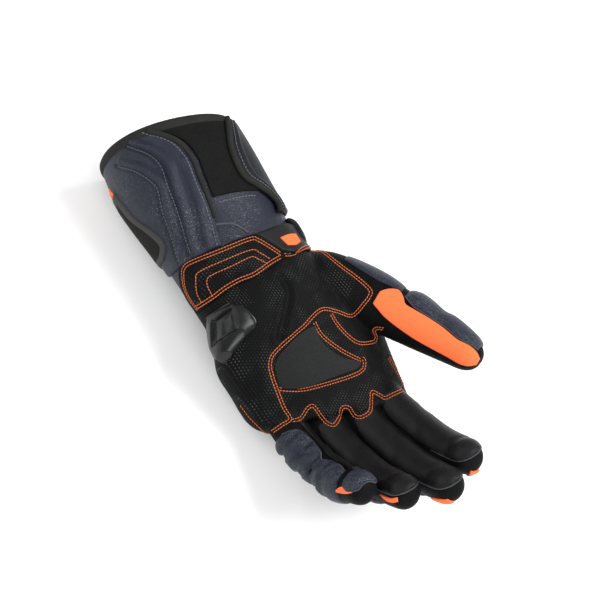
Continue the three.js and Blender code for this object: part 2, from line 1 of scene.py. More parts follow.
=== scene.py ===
"""The looks of a left-hand motorcycle racing gauntlet that lies on its back with the palm up.

Metres, in the part's own frame: +X points to the little finger, +Y to the fingertips, +Z out of the palm.
"""

import logging
import math
from collections.abc import Callable, Sequence
from dataclasses import dataclass, field
from enum import Enum
from typing import Any, NamedTuple

import bpy
import numpy as np
from mathutils import Matrix, Vector
from mathutils.bvhtree import BVHTree


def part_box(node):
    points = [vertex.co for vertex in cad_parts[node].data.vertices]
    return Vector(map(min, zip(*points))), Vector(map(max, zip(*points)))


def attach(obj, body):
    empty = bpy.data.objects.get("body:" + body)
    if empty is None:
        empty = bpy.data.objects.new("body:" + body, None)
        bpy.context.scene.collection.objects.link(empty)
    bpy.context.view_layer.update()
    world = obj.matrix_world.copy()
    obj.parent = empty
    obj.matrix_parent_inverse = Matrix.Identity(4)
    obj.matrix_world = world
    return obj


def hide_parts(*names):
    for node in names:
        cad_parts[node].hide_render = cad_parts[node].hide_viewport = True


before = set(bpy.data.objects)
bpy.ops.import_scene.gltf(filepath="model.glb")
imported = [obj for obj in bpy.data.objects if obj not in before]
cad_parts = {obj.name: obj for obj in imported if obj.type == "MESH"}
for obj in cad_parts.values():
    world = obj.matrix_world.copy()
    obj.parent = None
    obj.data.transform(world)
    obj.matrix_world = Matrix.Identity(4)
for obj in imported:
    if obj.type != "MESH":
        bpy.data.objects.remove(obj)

LOG = logging.getLogger("gauntlet")
MM = 0.001
IMAGE_SIDE = 610
# A direction that no roll of the glove runs along.
ASKEW = (0.3, 0.2, 1.0)
# A line's corners in the camera's frame, in pixels.
FrameLine = Sequence[tuple[float, float]]
Colour = tuple[float, float, float]


class Slot(Enum):
    """The record's material slots."""

    NAVY = "navy_leather"
    BLACK = "black_leather"
    BINDING = "grey_binding"
    LOOP = "loop_fabric"
    GUARD = "guard_rubber"
    SLIDER = "slider_plastic"
    ORANGE = "orange_leather"


class Section(NamedTuple):
    """A section of the cuff and palm, in shares of the named sizes."""

    reach: float
    mouth: float
    wrist: float
    knuckle: float
    thick: float
    side: float
    arch: float
    skew: float
    lean: float
    square: float


SECTIONS = (
    Section(-1.0, 1.0, 0.0, 0.0, 1.0, 0.065, -0.2, -0.25, -0.04, 2.2),
    Section(-0.8, 1.0, 0.05, 0.0, 0.95, 0.085, -0.1, -0.15, -0.02, 2.2),
    Section(-0.45, 0.45, 0.55, 0.0, 0.97, 0.07, 0.4, 0.0, 0.0, 2.3),
    Section(-0.15, 0.05, 0.95, 0.0, 1.0, 0.07, 0.85, 0.0, 0.0, 2.3),
    Section(0.08, 0.0, 0.98, 0.05, 1.0, 0.06, 0.85, 0.0, 0.0, 2.3),
    Section(0.3, 0.0, 0.6, 0.49, 1.06, 0.05, 0.4, 0.0, 0.0, 2.4),
    Section(0.5, 0.0, 0.2, 0.9, 1.16, -0.015, 0.0, -0.05, 0.0, 2.4),
    Section(0.75, 0.0, 0.0, 1.03, 1.2, -0.015, -0.15, -0.14, 0.0, 2.4),
    Section(0.9, 0.0, 0.0, 0.97, 1.1, -0.01, 0.15, -0.24, 0.0, 2.4),
    Section(1.0, 0.0, 0.0, 0.9, 0.88, -0.01, 0.95, -0.3, 0.0, 2.4),
)


class Digit(NamedTuple):
    """A finger or the thumb: its place in shares of the hand and its angles in degrees."""

    name: str
    across: float
    root: float
    long: float
    wide: float
    yaw: float
    bend: float
    curl: float
    hook: float


FINGERS = (
    Digit("index", -0.31, 1.04, 0.91, 1.0, -4, 0, 8, 54),
    Digit("middle", -0.09, 1.06, 1.0, 1.0, -3, 0, 8, 54),
    Digit("ring", 0.125, 0.98, 0.97, 0.96, 0, 0, 4, 58),
    Digit("little", 0.345, 0.86, 0.93, 0.94, 0, 0, 3, 62),
)
THUMB = Digit("thumb", -0.28, -0.06, 1.0, 1.0, -32, 15, 14, 20)


class Girth(NamedTuple):
    """The thickness of a finger at a place along it, as shares of its width."""

    at: float
    wide: float
    deep: float


FINGER_GIRTHS = (
    Girth(0.0, 0.98, 0.94),
    Girth(0.35, 1.0, 0.98),
    Girth(0.6, 1.0, 1.0),
    Girth(0.85, 0.96, 0.96),
    Girth(1.0, 0.9, 0.9),
)
THUMB_GIRTHS = (
    Girth(0.0, 0.85, 0.85),
    Girth(0.12, 1.22, 1.15),
    Girth(0.3, 1.27, 1.2),
    Girth(0.55, 1.15, 1.08),
    Girth(0.8, 0.92, 0.86),
    Girth(1.0, 0.7, 0.68),
)


class Row(NamedTuple):
    """A line across a panel, from one edge to the other, in turns and reaches of what carries it."""

    turn: float
    reach: float
    turn_to: float
    reach_to: float
    rise: float = 1.0


def read_smoothly(x: np.ndarray, y: np.ndarray, where: np.ndarray) -> np.ndarray:
    """Reads a smooth curve through rows of values.

    Args:
        x: Where the rows lie, rising.
        y: The rows' values.
        where: The places to read.

    Returns:
        The curve's values there.
    """
    low = np.maximum(np.arange(len(x)) - 1, 0)
    high = np.minimum(np.arange(len(x)) + 1, len(x) - 1)
    slopes = (y[high] - y[low]) / (x[high] - x[low])
    i = np.clip(np.searchsorted(x, where, side="right") - 1, 0, len(x) - 2)
    span = x[i + 1] - x[i]
    s = np.clip((where - x[i]) / span, 0, 1)
    s2, s3 = s * s, s * s * s
    start = (2 * s3 - 3 * s2 + 1) * y[i] + (s3 - 2 * s2 + s) * span * slopes[i]
    return start + (3 * s2 - 2 * s3) * y[i + 1] + (s3 - s2) * span * slopes[i + 1]


class Table:
    """Rows of named columns that are read smoothly between the rows."""

    def __init__(self, rows: Sequence[NamedTuple], key: str) -> None:
        """Keeps the rows as columns.

        Args:
            rows: The rows, in the order of the key column.
            key: The name of the column that says where a row lies.
        """
        names = [name for name in rows[0]._fields if isinstance(getattr(rows[0], name), (int, float))]
        self.columns = {name: np.array([getattr(row, name) for row in rows], float) for name in names}
        self.where = self.columns[key]

    def at(self, column: str, where: np.ndarray) -> np.ndarray:
        """A column's smooth values at places on the key column."""
        return read_smoothly(self.where, self.columns[column], where)


def power(value: np.ndarray, exponent: np.ndarray) -> np.ndarray:
    """A power that keeps the sign of its base."""
    return np.sign(value) * np.abs(value) ** exponent


def unit(vectors: np.ndarray) -> np.ndarray:
    """Vectors scaled to length one."""
    return vectors / np.maximum(np.linalg.norm(vectors, axis=-1, keepdims=True), 1e-12)


@dataclass
class BodyShape:
    """The surface of the cuff and palm, by turn in degrees and reach from mouth to webs."""

    cuff_length: float = 0.123
    hand_length: float = 0.096
    mouth_size: tuple[float, float] = (0.089, 0.084)
    wrist_size: tuple[float, float] = (0.090, 0.058)
    knuckle_size: tuple[float, float] = (0.112, 0.042)
    arch_height: float = 0.013
    origin: np.ndarray = field(default_factory=lambda: np.zeros(3))
    table: Table = field(default_factory=lambda: Table(SECTIONS, "reach"))

    def spread(self, reach: np.ndarray, which: int) -> np.ndarray:
        """The full width (which 0) or depth before its thickening (which 1) of a section."""
        shares = (("mouth", self.mouth_size), ("wrist", self.wrist_size), ("knuckle", self.knuckle_size))
        return sum(self.table.at(column, reach) * size[which] for column, size in shares)

    def section(self, reach: np.ndarray) -> tuple[np.ndarray, np.ndarray, np.ndarray, np.ndarray]:
        """Measures sections.

        Args:
            reach: Where they lie: -1 at the mouth, 0 at the wrist, 1 at the webs.

        Returns:
            The half width, half depth, middle across and middle height of each.
        """
        half_wide = self.spread(reach, 0) / 2
        half_deep = self.spread(reach, 1) * self.table.at("thick", reach) / 2
        side = self.table.at("side", reach) * self.knuckle_size[0]
        return half_wide, half_deep, side, self.table.at("arch", reach) * self.arch_height + half_deep

    def points(self, turn: np.ndarray, reach: np.ndarray, offset: np.ndarray | float = 0.0) -> np.ndarray:
        """Points of the surface.

        Args:
            turn: 0 at the little finger's side, 90 on the palm, 180 at the thumb.
            reach: -1 at the mouth, 0 at the wrist, 1 at the webs.
            offset: Distance outside the surface.

        Returns:
            The points, as an array whose last axis is X, Y, Z.
        """
        turn, reach, offset = np.broadcast_arrays(np.asarray(turn, float), np.asarray(reach, float), offset)
        half_wide, half_deep, side, middle = self.section(reach)
        around = 2 / self.table.at("square", reach)
        across = (half_wide + offset) * power(np.cos(np.radians(turn)), around)
        up = (half_deep + offset) * power(np.sin(np.radians(turn)), around)
        along = reach * np.where(reach < 0, self.cuff_length, self.hand_length)
        y = along + self.table.at("skew", reach) * across + self.table.at("lean", reach) * up
        z = np.maximum(-offset, middle + up)
        return np.stack([side + across, y, z], -1) + self.origin

    def settle(self, low: Vector) -> None:
        """Moves the surface so that the cuff's lowest corner lies where the frame has it.

        Args:
            low: The cuff's lowest corner in the frame.
        """
        facets, rings = 32, 10
        turn, reach = np.meshgrid(np.arange(facets) * 360 / facets, np.linspace(-1, 0, rings))
        own = self.points(turn, reach).reshape(-1, 3).min(0)
        self.origin = np.array([low.x - own[0], low.y - own[1], 0.0])

    def place(self, points: np.ndarray) -> tuple[np.ndarray, np.ndarray]:
        """Finds the turn and reach of points near the surface.

        Args:
            points: The points, one to a row.

        Returns:
            Their turns and reaches.
        """
        rounds, widest = 8, 1.2
        x, y, z = (points - self.origin).T
        reach = np.where(y < 0, y / self.cuff_length, y / self.hand_length)
        for _ in range(rounds):
            near = np.clip(reach, -1, 1)
            half_wide, half_deep, side, middle = self.section(near)
            slope = self.table.at("skew", near) * (x - side) + self.table.at("lean", near) * (z - middle)
            along = y - slope
            reach = np.where(along < 0, along / self.cuff_length, along / self.hand_length)
        square = self.table.at("square", np.clip(reach, -1, 1))
        cosine = power(np.clip((x - side) / half_wide, -widest, widest), square / 2)
        sine = power(np.clip((z - middle) / half_deep, -widest, widest), square / 2)
        return np.degrees(np.arctan2(sine, cosine)) % 360, reach


@dataclass
class DigitShape:
    """The surface of a finger or the thumb, by turn in degrees and share of its length."""

    width: float
    length: float
    start: np.ndarray
    palmward: np.ndarray
    girths: Table
    dome_share: float
    row: Digit
    steps: int = 60
    blunt: float = 2.5

    def __post_init__(self) -> None:
        """Works out the curled axis, a step at a time."""
        place = self.start.copy()
        self.places, self.forwards = [], []
        for i in range(self.steps + 1):
            s = i / self.steps
            pitch = math.radians(self.row.curl + (self.row.hook - self.row.curl) * s * s * (3 - 2 * s))
            heading = math.radians(self.row.yaw + self.row.bend * s)
            forward = np.array(
                [
                    math.sin(heading) * math.cos(pitch),
                    math.cos(heading) * math.cos(pitch),
                    math.sin(pitch),
                ]
            )
            self.places.append(place.copy())
            self.forwards.append(forward)
            place += forward * self.length / self.steps
        self.places, self.forwards = np.array(self.places), np.array(self.forwards)
        self.dome = 1 - self.dome_share * self.width / self.length
        self.sideways = unit(np.cross(self.forwards, self.palmward))
        self.upward = np.cross(self.sideways, self.forwards)

    def points(self, turn: np.ndarray, s: np.ndarray, offset: np.ndarray | float = 0.0) -> np.ndarray:
        """Points of the surface.

        Args:
            turn: 0 at the side towards +X, 90 on the digit's palm side.
            s: Share of the length, 0 at the root and 1 at the tip.
            offset: Distance outside the surface.

        Returns:
            The points, as an array whose last axis is X, Y, Z.
        """
        turn, s, offset = np.broadcast_arrays(np.asarray(turn, float), np.asarray(s, float), offset)
        step = np.clip(s, 0, 1) * self.steps
        low = np.minimum(step.astype(int), self.steps - 1)
        mix = (step - low)[..., None]
        place = self.places[low] * (1 - mix) + self.places[low + 1] * mix
        forward = unit(self.forwards[low] * (1 - mix) + self.forwards[low + 1] * mix)
        sideways = unit(np.cross(forward, self.palmward))
        upward = np.cross(sideways, forward)
        tip = np.maximum(0, (s - self.dome) / (1 - self.dome))
        closing = np.maximum(0, 1 - tip**self.blunt) ** (1 / self.blunt)
        wide = (self.girths.at("wide", s) * self.width / 2 + offset) * closing * np.cos(np.radians(turn))
        deep = (self.girths.at("deep", s) * self.width / 2 + offset) * closing * np.sin(np.radians(turn))
        ahead = (offset * tip)[..., None]
        return place + sideways * wide[..., None] + upward * deep[..., None] + forward * ahead

    def place(self, points: np.ndarray) -> tuple[np.ndarray, np.ndarray, np.ndarray]:
        """Finds where points lie about the digit.

        Args:
            points: The points, one to a row.

        Returns:
            Their turns, shares of the length and distances from the axis in radii.
        """
        far = np.linalg.norm(points[:, None, :] - self.places[None, :, :], axis=2)
        nearest = far.argmin(1)
        arm = points - self.places[nearest]
        wide = (arm * self.sideways[nearest]).sum(1)
        deep = (arm * self.upward[nearest]).sum(1)
        s = nearest / self.steps
        radius = self.girths.at("wide", s) * self.width / 2
        return np.degrees(np.arctan2(deep, wide)) % 360, s, far.min(1) / radius


@dataclass
class GloveShape:
    """The whole glove's surfaces, set where the frame has them."""

    body: BodyShape = field(default_factory=BodyShape)
    finger_length: float = 0.098
    finger_width: float = 0.025
    finger_root: float = 0.022
    finger_lift: float = 0.9
    finger_drop: float = 1.0 * MM
    finger_dome: float = 0.42
    thumb_length: float = 0.139
    thumb_width: float = 0.031
    thumb_lift: float = 0.46
    thumb_tilt: float = 0.5
    thumb_dome: float = 0.45
    leather: float = 0.0024

    def __post_init__(self) -> None:
        """Settles the body and hangs the digits on it."""
        self.body.settle(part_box("gauntlet_cuff")[0])
        fingers = {row.name: self.finger(row) for row in FINGERS}
        self.digits: dict[str, DigitShape] = {**fingers, THUMB.name: self.thumb()}

    def finger(self, row: Digit) -> DigitShape:
        """Hangs a finger on the knuckles.

        Args:
            row: The finger's line in the table.

        Returns:
            Its surface.
        """
        hand_wide, hand_deep = self.body.knuckle_size
        arch = self.body.arch_height * self.finger_lift
        height = arch + self.finger_lift * hand_deep / 2 - self.finger_drop
        along = row.root * self.body.hand_length - self.finger_root
        start = np.array([row.across * hand_wide, along, height]) + self.body.origin
        length = row.long * self.finger_length + self.finger_root
        width = row.wide * self.finger_width
        upright = np.array([0.0, 0.0, 1.0])
        return DigitShape(width, length, start, upright, Table(FINGER_GIRTHS, "at"), self.finger_dome, row)

    def thumb(self) -> DigitShape:
        """Hangs the thumb beside the wrist.

        Returns:
            Its surface.
        """
        height = self.body.arch_height + self.thumb_lift * self.body.wrist_size[1]
        across = THUMB.across * self.body.knuckle_size[0]
        start = np.array([across, THUMB.root * self.body.hand_length, height]) + self.body.origin
        tilted = unit(np.array([self.thumb_tilt, 0.0, 1.0]))
        girths = Table(THUMB_GIRTHS, "at")
        return DigitShape(self.thumb_width, self.thumb_length, start, tilted, girths, self.thumb_dome, THUMB)


class Mesh(NamedTuple):
    """Points and faces."""

    points: np.ndarray
    faces: list[tuple[int, ...]]


def joined(meshes: Sequence[Mesh]) -> Mesh:
    """Puts several meshes into one.

    Args:
        meshes: The meshes.

    Returns:
        One mesh with all their points and faces.
    """
    points, faces, first = [], [], 0
    for mesh in meshes:
        points.append(mesh.points)
        faces.extend(tuple(first + i for i in face) for face in mesh.faces)
        first += len(mesh.points)
    return Mesh(np.concatenate(points), faces)


def ring_mesh(rings: np.ndarray, loop: bool = False) -> Mesh:
    """A closed mesh through rings of points.

    Args:
        rings: Array of rings, points and coordinates.
        loop: Whether the last ring joins the first. Otherwise each end closes with a fan.

    Returns:
        The mesh.
    """
    count, sides = rings.shape[:2]
    points = rings.reshape(-1, 3)
    faces: list[tuple[int, ...]] = []
    for k in range(count if loop else count - 1):
        near, far = k * sides, ((k + 1) % count) * sides
        for i in range(sides):
            j = (i + 1) % sides
            faces.append((near + i, far + i, far + j, near + j))
    if not loop:
        ends = np.stack([rings[0].mean(0), rings[-1].mean(0)])
        first, last = len(points), (count - 1) * sides
        points = np.concatenate([points, ends])
        for i in range(sides):
            j = (i + 1) % sides
            faces.append((first, i, j))
            faces.append((first + 1, last + j, last + i))
    return Mesh(points, faces)


def tube(line: np.ndarray, radius: np.ndarray | float, sides: int = 10) -> Mesh:
    """A round roll along a line of points.

    Args:
        line: The points.
        radius: One radius, or one for each point.
        sides: Points in a ring.

    Returns:
        The mesh.
    """
    forward = unit(np.gradient(line, axis=0))
    sideways = np.empty_like(line)
    across = np.cross(forward[0], ASKEW)
    for k, ahead in enumerate(forward):
        across = across - ahead * (across @ ahead)
        across = across / np.linalg.norm(across)
        sideways[k] = across
    upward = np.cross(sideways, forward)
    angles = np.arange(sides) * 2 * math.pi / sides
    arms = sideways[:, None] * np.cos(angles)[:, None] + upward[:, None] * np.sin(angles)[:, None]
    radii = np.broadcast_to(radius, len(line))[:, None, None]
    return ring_mesh(line[:, None] + arms * radii)


def smooth_line(points: np.ndarray, step: float) -> np.ndarray:
    """A smooth curve through points, sampled evenly.

    Args:
        points: The points, in two or three dimensions.
        step: Distance between samples.

    Returns:
        The samples.
    """
    samples = 16
    before, after = 2 * points[:1] - points[1:2], 2 * points[-1:] - points[-2:-1]
    corners = np.concatenate([before, points, after])
    curve = []
    for a, b, c, d in zip(corners, corners[1:], corners[2:], corners[3:]):
        for t in np.linspace(0, 1, samples, endpoint=False):
            bend = (2 * a - 5 * b + 4 * c - d) * t * t + (3 * b - a - 3 * c + d) * t * t * t
            curve.append(0.5 * (2 * b + (c - a) * t + bend))
    return resampled(np.array([*curve, points[-1]]), step)


def resampled(line: np.ndarray, step: float) -> np.ndarray:
    """Moves a line's points so that they lie evenly.

    Args:
        line: The points.
        step: About how far apart they are to lie.

    Returns:
        The new points.
    """
    lengths = np.concatenate([[0], np.cumsum(np.linalg.norm(np.diff(line, axis=0), axis=1))])
    count = max(2, int(round(lengths[-1] / step)) + 1)
    where = np.linspace(0, lengths[-1], count)
    return np.stack([np.interp(where, lengths, column) for column in line.T], 1)


def distance_to(points: np.ndarray, line: np.ndarray) -> np.ndarray:
    """The distance from each point to a line of points.

    Args:
        points: The points, one to a row.
        line: The line's points.

    Returns:
        One distance for each point.
    """
    best = np.full(len(points), np.inf)
    for a, b in zip(line, line[1:]):
        along = b - a
        share = np.clip((points - a) @ along / max(along @ along, 1e-18), 0, 1)
        best = np.minimum(best, np.linalg.norm(points - a - share[:, None] * along, axis=1))
    return best


def bell(distance: np.ndarray, width: float) -> np.ndarray:
    """1 at no distance, falling smoothly to 0 at the width."""
    near = np.clip(1 - distance / width, 0, 1)
    return near * near * (3 - 2 * near)


# Adds to a panel's height, from both shares of its points and from the points.
Relief = Callable[[np.ndarray, np.ndarray, np.ndarray], np.ndarray]
EDGE_SHARES = (0, 0.012, 0.028, 0.05)
INNER_SHARES = (0.08, 0.92)


def grid_shares(count: int) -> np.ndarray:
    """Shares from 0 to 1 that lie closer together near both ends."""
    near = np.array(EDGE_SHARES)
    return np.unique(np.concatenate([near, np.linspace(*INNER_SHARES, count), 1 - near]))


@dataclass
class Panel:
    """A piece of leather sewn on a surface, with rounded edges."""

    surface: BodyShape | DigitShape
    rows: Sequence[Row]
    low: float = 0.3 * MM
    thick: float = 1.4 * MM
    edge: float = 1.6 * MM
    sink: float = 0.9 * MM
    across: int = 30
    along: int = 44
    relief: Relief | None = None
    soft: float = 0.45
    ramp: float = 1.2

    def column(self, name: str, v: np.ndarray) -> np.ndarray:
        """Reads a column of the rows.

        Args:
            name: The column's name.
            v: Shares of the way from the first row to the last.

        Returns:
            The column's smooth values there, each in a row of its own.
        """
        index = np.arange(len(self.rows), dtype=float)
        values = np.array([getattr(row, name) for row in self.rows], float)
        return read_smoothly(index, values, v * index[-1])[:, None]

    def grid(self) -> tuple[np.ndarray, np.ndarray, np.ndarray, np.ndarray, np.ndarray]:
        """Lays a grid over the panel.

        Returns:
            The turns, reaches, rises and both shares of its points.
        """
        u, v = grid_shares(self.across), grid_shares(self.along)
        turn, turn_to = self.column("turn", v), self.column("turn_to", v)
        reach, reach_to = self.column("reach", v), self.column("reach_to", v)
        turns = turn + (turn_to - turn) * u
        reaches = reach + (reach_to - reach) * u
        rises, all_u, all_v = (
            np.broadcast_to(values, turns.shape) for values in (self.column("rise", v), u, v[:, None])
        )
        return turns, reaches, rises, all_u, all_v

    def mesh(self) -> Mesh:
        """Builds the panel.

        Returns:
            A closed mesh.
        """
        turn, reach, rise, u, v = self.grid()
        flat = self.surface.points(turn, reach, self.low)
        ahead = np.linalg.norm(np.diff(flat, axis=1), axis=2)
        aside = np.linalg.norm(np.diff(flat, axis=0), axis=2)
        left = np.pad(np.cumsum(ahead, 1), ((0, 0), (1, 0)))
        down = np.pad(np.cumsum(aside, 0), ((1, 0), (0, 0)))
        border = np.minimum(np.minimum(left, left[:, -1:] - left), np.minimum(down, down[-1:] - down))
        inward = np.clip(border / self.edge, 0, 1)
        rounded = self.soft + (1 - self.soft) * np.sqrt(1 - (1 - inward) ** 2)
        height = self.low + self.thick * rise * rounded
        if self.relief is not None:
            extra = self.relief(u.reshape(-1), v.reshape(-1), flat.reshape(-1, 3))
            height = height + extra.reshape(u.shape) * np.minimum(1, inward * self.ramp)
        top = self.surface.points(turn, reach, height)
        bottom = self.surface.points(turn, reach, -self.sink)
        return sheet_mesh(top, bottom)


def sheet_mesh(top: np.ndarray, bottom: np.ndarray) -> Mesh:
    """A closed mesh between two grids of points.

    Args:
        top: The outer grid, as lines of points.
        bottom: The inner grid, of the same shape.

    Returns:
        The mesh.
    """
    count, wide = top.shape[:2]
    points = np.concatenate([top.reshape(-1, 3), bottom.reshape(-1, 3)])
    lift = count * wide
    faces: list[tuple[int, ...]] = []
    for k in range(count - 1):
        for i in range(wide - 1):
            p, q = k * wide + i, k * wide + i + 1
            r, t = q + wide, p + wide
            faces.append((p, q, r, t))
            faces.append((lift + p, lift + t, lift + r, lift + q))
    rim = list(range(wide))
    rim += [k * wide + wide - 1 for k in range(1, count)]
    rim += [count * wide - 1 - i for i in range(1, wide)]
    rim += [(count - 1 - k) * wide for k in range(1, count - 1)]
    for p, q in zip(rim, rim[1:] + rim[:1]):
        faces.append((q, p, lift + p, lift + q))
    return Mesh(points, faces)


class Field:
    """A number that varies over a surface: an output socket with the usual operators."""

    def __init__(self, shader: "Shader", socket: bpy.types.NodeSocket) -> None:
        """Wraps a socket of a shader's tree."""
        self.shader = shader
        self.socket = socket

    def math(self, operation: str, *values: "Field | float") -> "Field":
        """A Math node.

        Args:
            operation: The node's operation.
            values: Its inputs, in order.

        Returns:
            The node's result.
        """
        made = self.shader.node("ShaderNodeMath", {"operation": operation}, dict(enumerate(values)))
        return Field(self.shader, made.outputs[0])

    def __add__(self, other: "Field | float") -> "Field":
        """The sum."""
        return self.math("ADD", self, other)

    __radd__ = __add__

    def __sub__(self, other: "Field | float") -> "Field":
        """The difference."""
        return self.math("SUBTRACT", self, other)

    def __rsub__(self, other: "Field | float") -> "Field":
        """The difference, the other way round."""
        return self.math("SUBTRACT", other, self)

    def __mul__(self, other: "Field | float") -> "Field":
        """The product."""
        return self.math("MULTIPLY", self, other)

    __rmul__ = __mul__

    def __mod__(self, other: "Field | float") -> "Field":
        """What is left after whole steps of the other."""
        return self.math("FLOORED_MODULO", self, other)

    def __rmod__(self, other: "Field | float") -> "Field":
        """What is left of the other after whole steps of this."""
        return self.math("FLOORED_MODULO", other, self)

    def __abs__(self) -> "Field":
        """The value without its sign."""
        return self.math("ABSOLUTE", self)

    def floor(self) -> "Field":
        """The whole number below."""
        return self.math("FLOOR", self)

    def between(self, low: float, high: float) -> "Field":
        """Eases a range to 0 to 1.

        Args:
            low: The value that gives 0, as all beyond it do.
            high: The value that gives 1, as all beyond it do.

        Returns:
            The eased values.
        """
        inputs = {"Value": self, "From Min": low, "From Max": high}
        made = self.shader.node("ShaderNodeMapRange", {"interpolation_type": "SMOOTHSTEP"}, inputs)
        return Field(self.shader, made.outputs[0])


class CellMeasure(Enum):
    """What is measured in a pattern of irregular cells."""

    FROM_MIDDLE = "F1"
    FROM_EDGE = "DISTANCE_TO_EDGE"


class Shader:
    """A material's node tree round one Principled shader."""

    def __init__(self, name: str, **constants: Any) -> None:
        """Starts the material.

        Args:
            name: The material's name.
            constants: Values of the shader's own sockets, with _ for a space.
        """
        self.material = bpy.data.materials.new(name)
        self.material.use_nodes = True
        self.tree = self.material.node_tree
        self.tree.nodes.clear()
        self.principled = self.node("ShaderNodeBsdfPrincipled", {}, {})
        for key, value in constants.items():
            self.principled.inputs[key.replace("_", " ")].default_value = value
        self.node("ShaderNodeOutputMaterial", {}, {"Surface": self.principled.outputs[0]})
        self.coordinates = self.node("ShaderNodeTexCoord", {}, {}).outputs["Object"]

    def node(self, kind: str, settings: dict[str, Any], inputs: dict[str | int, Any]) -> bpy.types.Node:
        """Adds a node.

        Args:
            kind: The node's type.
            settings: Its properties, set first.
            inputs: Values or links of its sockets, by name or number.

        Returns:
            The node.
        """
        made = self.tree.nodes.new(kind)
        for key, value in settings.items():
            setattr(made, key, value)
        for key, value in inputs.items():
            source = value.socket if isinstance(value, Field) else value
            if isinstance(source, bpy.types.NodeSocket):
                self.tree.links.new(source, made.inputs[key])
            else:
                made.inputs[key].default_value = source
        return made

    def noise(self, size: float, detail: float = 2.0, stretch: Colour = (1, 1, 1)) -> Field:
        """Soft noise.

        Args:
            size: Size of its features, in metres.
            detail: How many finer layers it has.
            stretch: How much denser it is along X, Y and Z.

        Returns:
            Values about one half.
        """
        place = self.node("ShaderNodeMapping", {}, {"Vector": self.coordinates, "Scale": stretch}).outputs[0]
        inputs = {"Vector": place, "Scale": 1 / size, "Detail": detail}
        return Field(self, self.node("ShaderNodeTexNoise", {}, inputs).outputs[0])

    def cells(self, size: float, measure: CellMeasure = CellMeasure.FROM_MIDDLE) -> Field:
        """A pattern of irregular cells.

        Args:
            size: Size of a cell, in metres.
            measure: What is measured.

        Returns:
            Distances, as shares of a cell.
        """
        inputs = {"Vector": self.coordinates, "Scale": 1 / size}
        made = self.node("ShaderNodeTexVoronoi", {"feature": measure.value}, inputs)
        return Field(self, made.outputs["Distance"])

    def attribute(self, name: str) -> Field:
        """A number stored on the mesh's points."""
        return Field(self, self.node("ShaderNodeAttribute", {"attribute_name": name}, {}).outputs["Fac"])

    def axis(self, letter: str) -> Field:
        """The place along X, Y or Z, in metres."""
        made = self.node("ShaderNodeSeparateXYZ", {}, {"Vector": self.coordinates})
        return Field(self, made.outputs[letter])

    def mixed(self, factor: Field, first: Colour, second: Colour) -> bpy.types.NodeSocket:
        """Mixes two colours.

        Args:
            factor: 0 for the first and 1 for the second.
            first: A colour.
            second: Another.

        Returns:
            The mix.
        """
        colour_a, colour_b, result = 6, 7, 2
        inputs = {"Factor": factor, colour_a: (*first, 1.0), colour_b: (*second, 1.0)}
        return self.node("ShaderNodeMix", {"data_type": "RGBA"}, inputs).outputs[result]

    def colour(self, socket: bpy.types.NodeSocket) -> None:
        """Sets the base colour."""
        self.tree.links.new(socket, self.principled.inputs["Base Color"])

    def roughness(self, value: Field) -> None:
        """Sets the roughness."""
        self.tree.links.new(value.socket, self.principled.inputs["Roughness"])

    def bump(self, height: Field, depth: float, strength: float) -> None:
        """Raises the surface.

        Args:
            height: The height, as shares of the depth.
            depth: The depth, in metres.
            strength: How much of it shows.
        """
        inputs = {"Height": height, "Distance": depth, "Strength": strength}
        made = self.node("ShaderNodeBump", {}, inputs)
        self.tree.links.new(made.outputs[0], self.principled.inputs["Normal"])


@dataclass(frozen=True)
class LeatherFinish:
    """Grained leather, with painted highlights: light specks painted on the grain's tops and a faint
    lightening painted on fold crests.
    """

    name: str
    colour: Colour
    # The colour of the painted highlights.
    worn: Colour
    grain: float = 1.3 * MM
    depth: float = 0.16 * MM
    speck: float = 0.35
    rough: float = 0.46
    gloss: float = 0.04
    embossed: bool = False
    pore: float = 0.35
    drift: float = 28 * MM
    fold: float = 7 * MM
    crease_height: float = 0.55
    pore_height: float = 0.35
    fold_height: float = 0.9
    dash_height: float = 1.3
    dash_across: float = 1.7 * MM
    dash_along: float = 2.2 * MM

    def make(self) -> bpy.types.Material:
        """Makes the leather's nodes.

        Returns:
            The material.
        """
        shader = Shader(self.name, Specular_IOR_Level=self.gloss)
        creases = shader.cells(self.grain, CellMeasure.FROM_EDGE).between(0.0, 0.16)
        pores = shader.noise(self.grain * self.pore, 3)
        drift = shader.noise(self.drift, 3)
        folds = shader.noise(self.fold, 4, (1.0, 0.45, 1.0))
        height = creases * self.crease_height + pores * self.pore_height + folds * self.fold_height
        tops = pores.between(0.58, 0.7) * creases
        # Painted highlights: light specks on the grain's tops and a faint lightening of fold crests, mixed
        # into the base colour.
        painted_highlight_mask = tops * self.speck * drift.between(0.3, 0.65) + folds.between(0.5, 0.85) * 0.02
        rough = self.rough + drift * 0.12 - tops * 0.1
        if self.embossed:
            dash = self.dashes(shader)
            height = height + dash * self.dash_height
            # Painted glints: the dashes are mixed towards the highlight colour.
            painted_highlight_mask = painted_highlight_mask + dash * 0.3
            rough = rough - dash * 0.12
        shader.colour(shader.mixed(painted_highlight_mask, self.colour, self.worn))
        shader.roughness(rough)
        shader.bump(height, self.depth, 0.8)
        return shader.material

    def dashes(self, shader: Shader) -> Field:
        """Rows of small raised dashes, where the mesh's emboss attribute asks for them.

        Args:
            shader: The leather's shader.

        Returns:
            1 on a dash and 0 beside it.
        """
        sway = shader.noise(30 * MM, 1) * (1.6 * MM)
        across = (shader.axis("X") + shader.axis("Y") * 0.18 + sway) * (1 / self.dash_across)
        column = across.floor()
        along = shader.axis("Y") * (1 / self.dash_along) + column * 0.5
        near_across = abs(across % 1.0 - 0.5).between(0.22, 0.1)
        near_along = abs(along % 1.0 - 0.5).between(0.34, 0.16)
        patchy = shader.noise(15 * MM, 3).between(0.44, 0.66)
        return near_across * near_along * shader.attribute("emboss") * (0.1 + patchy * 0.9)


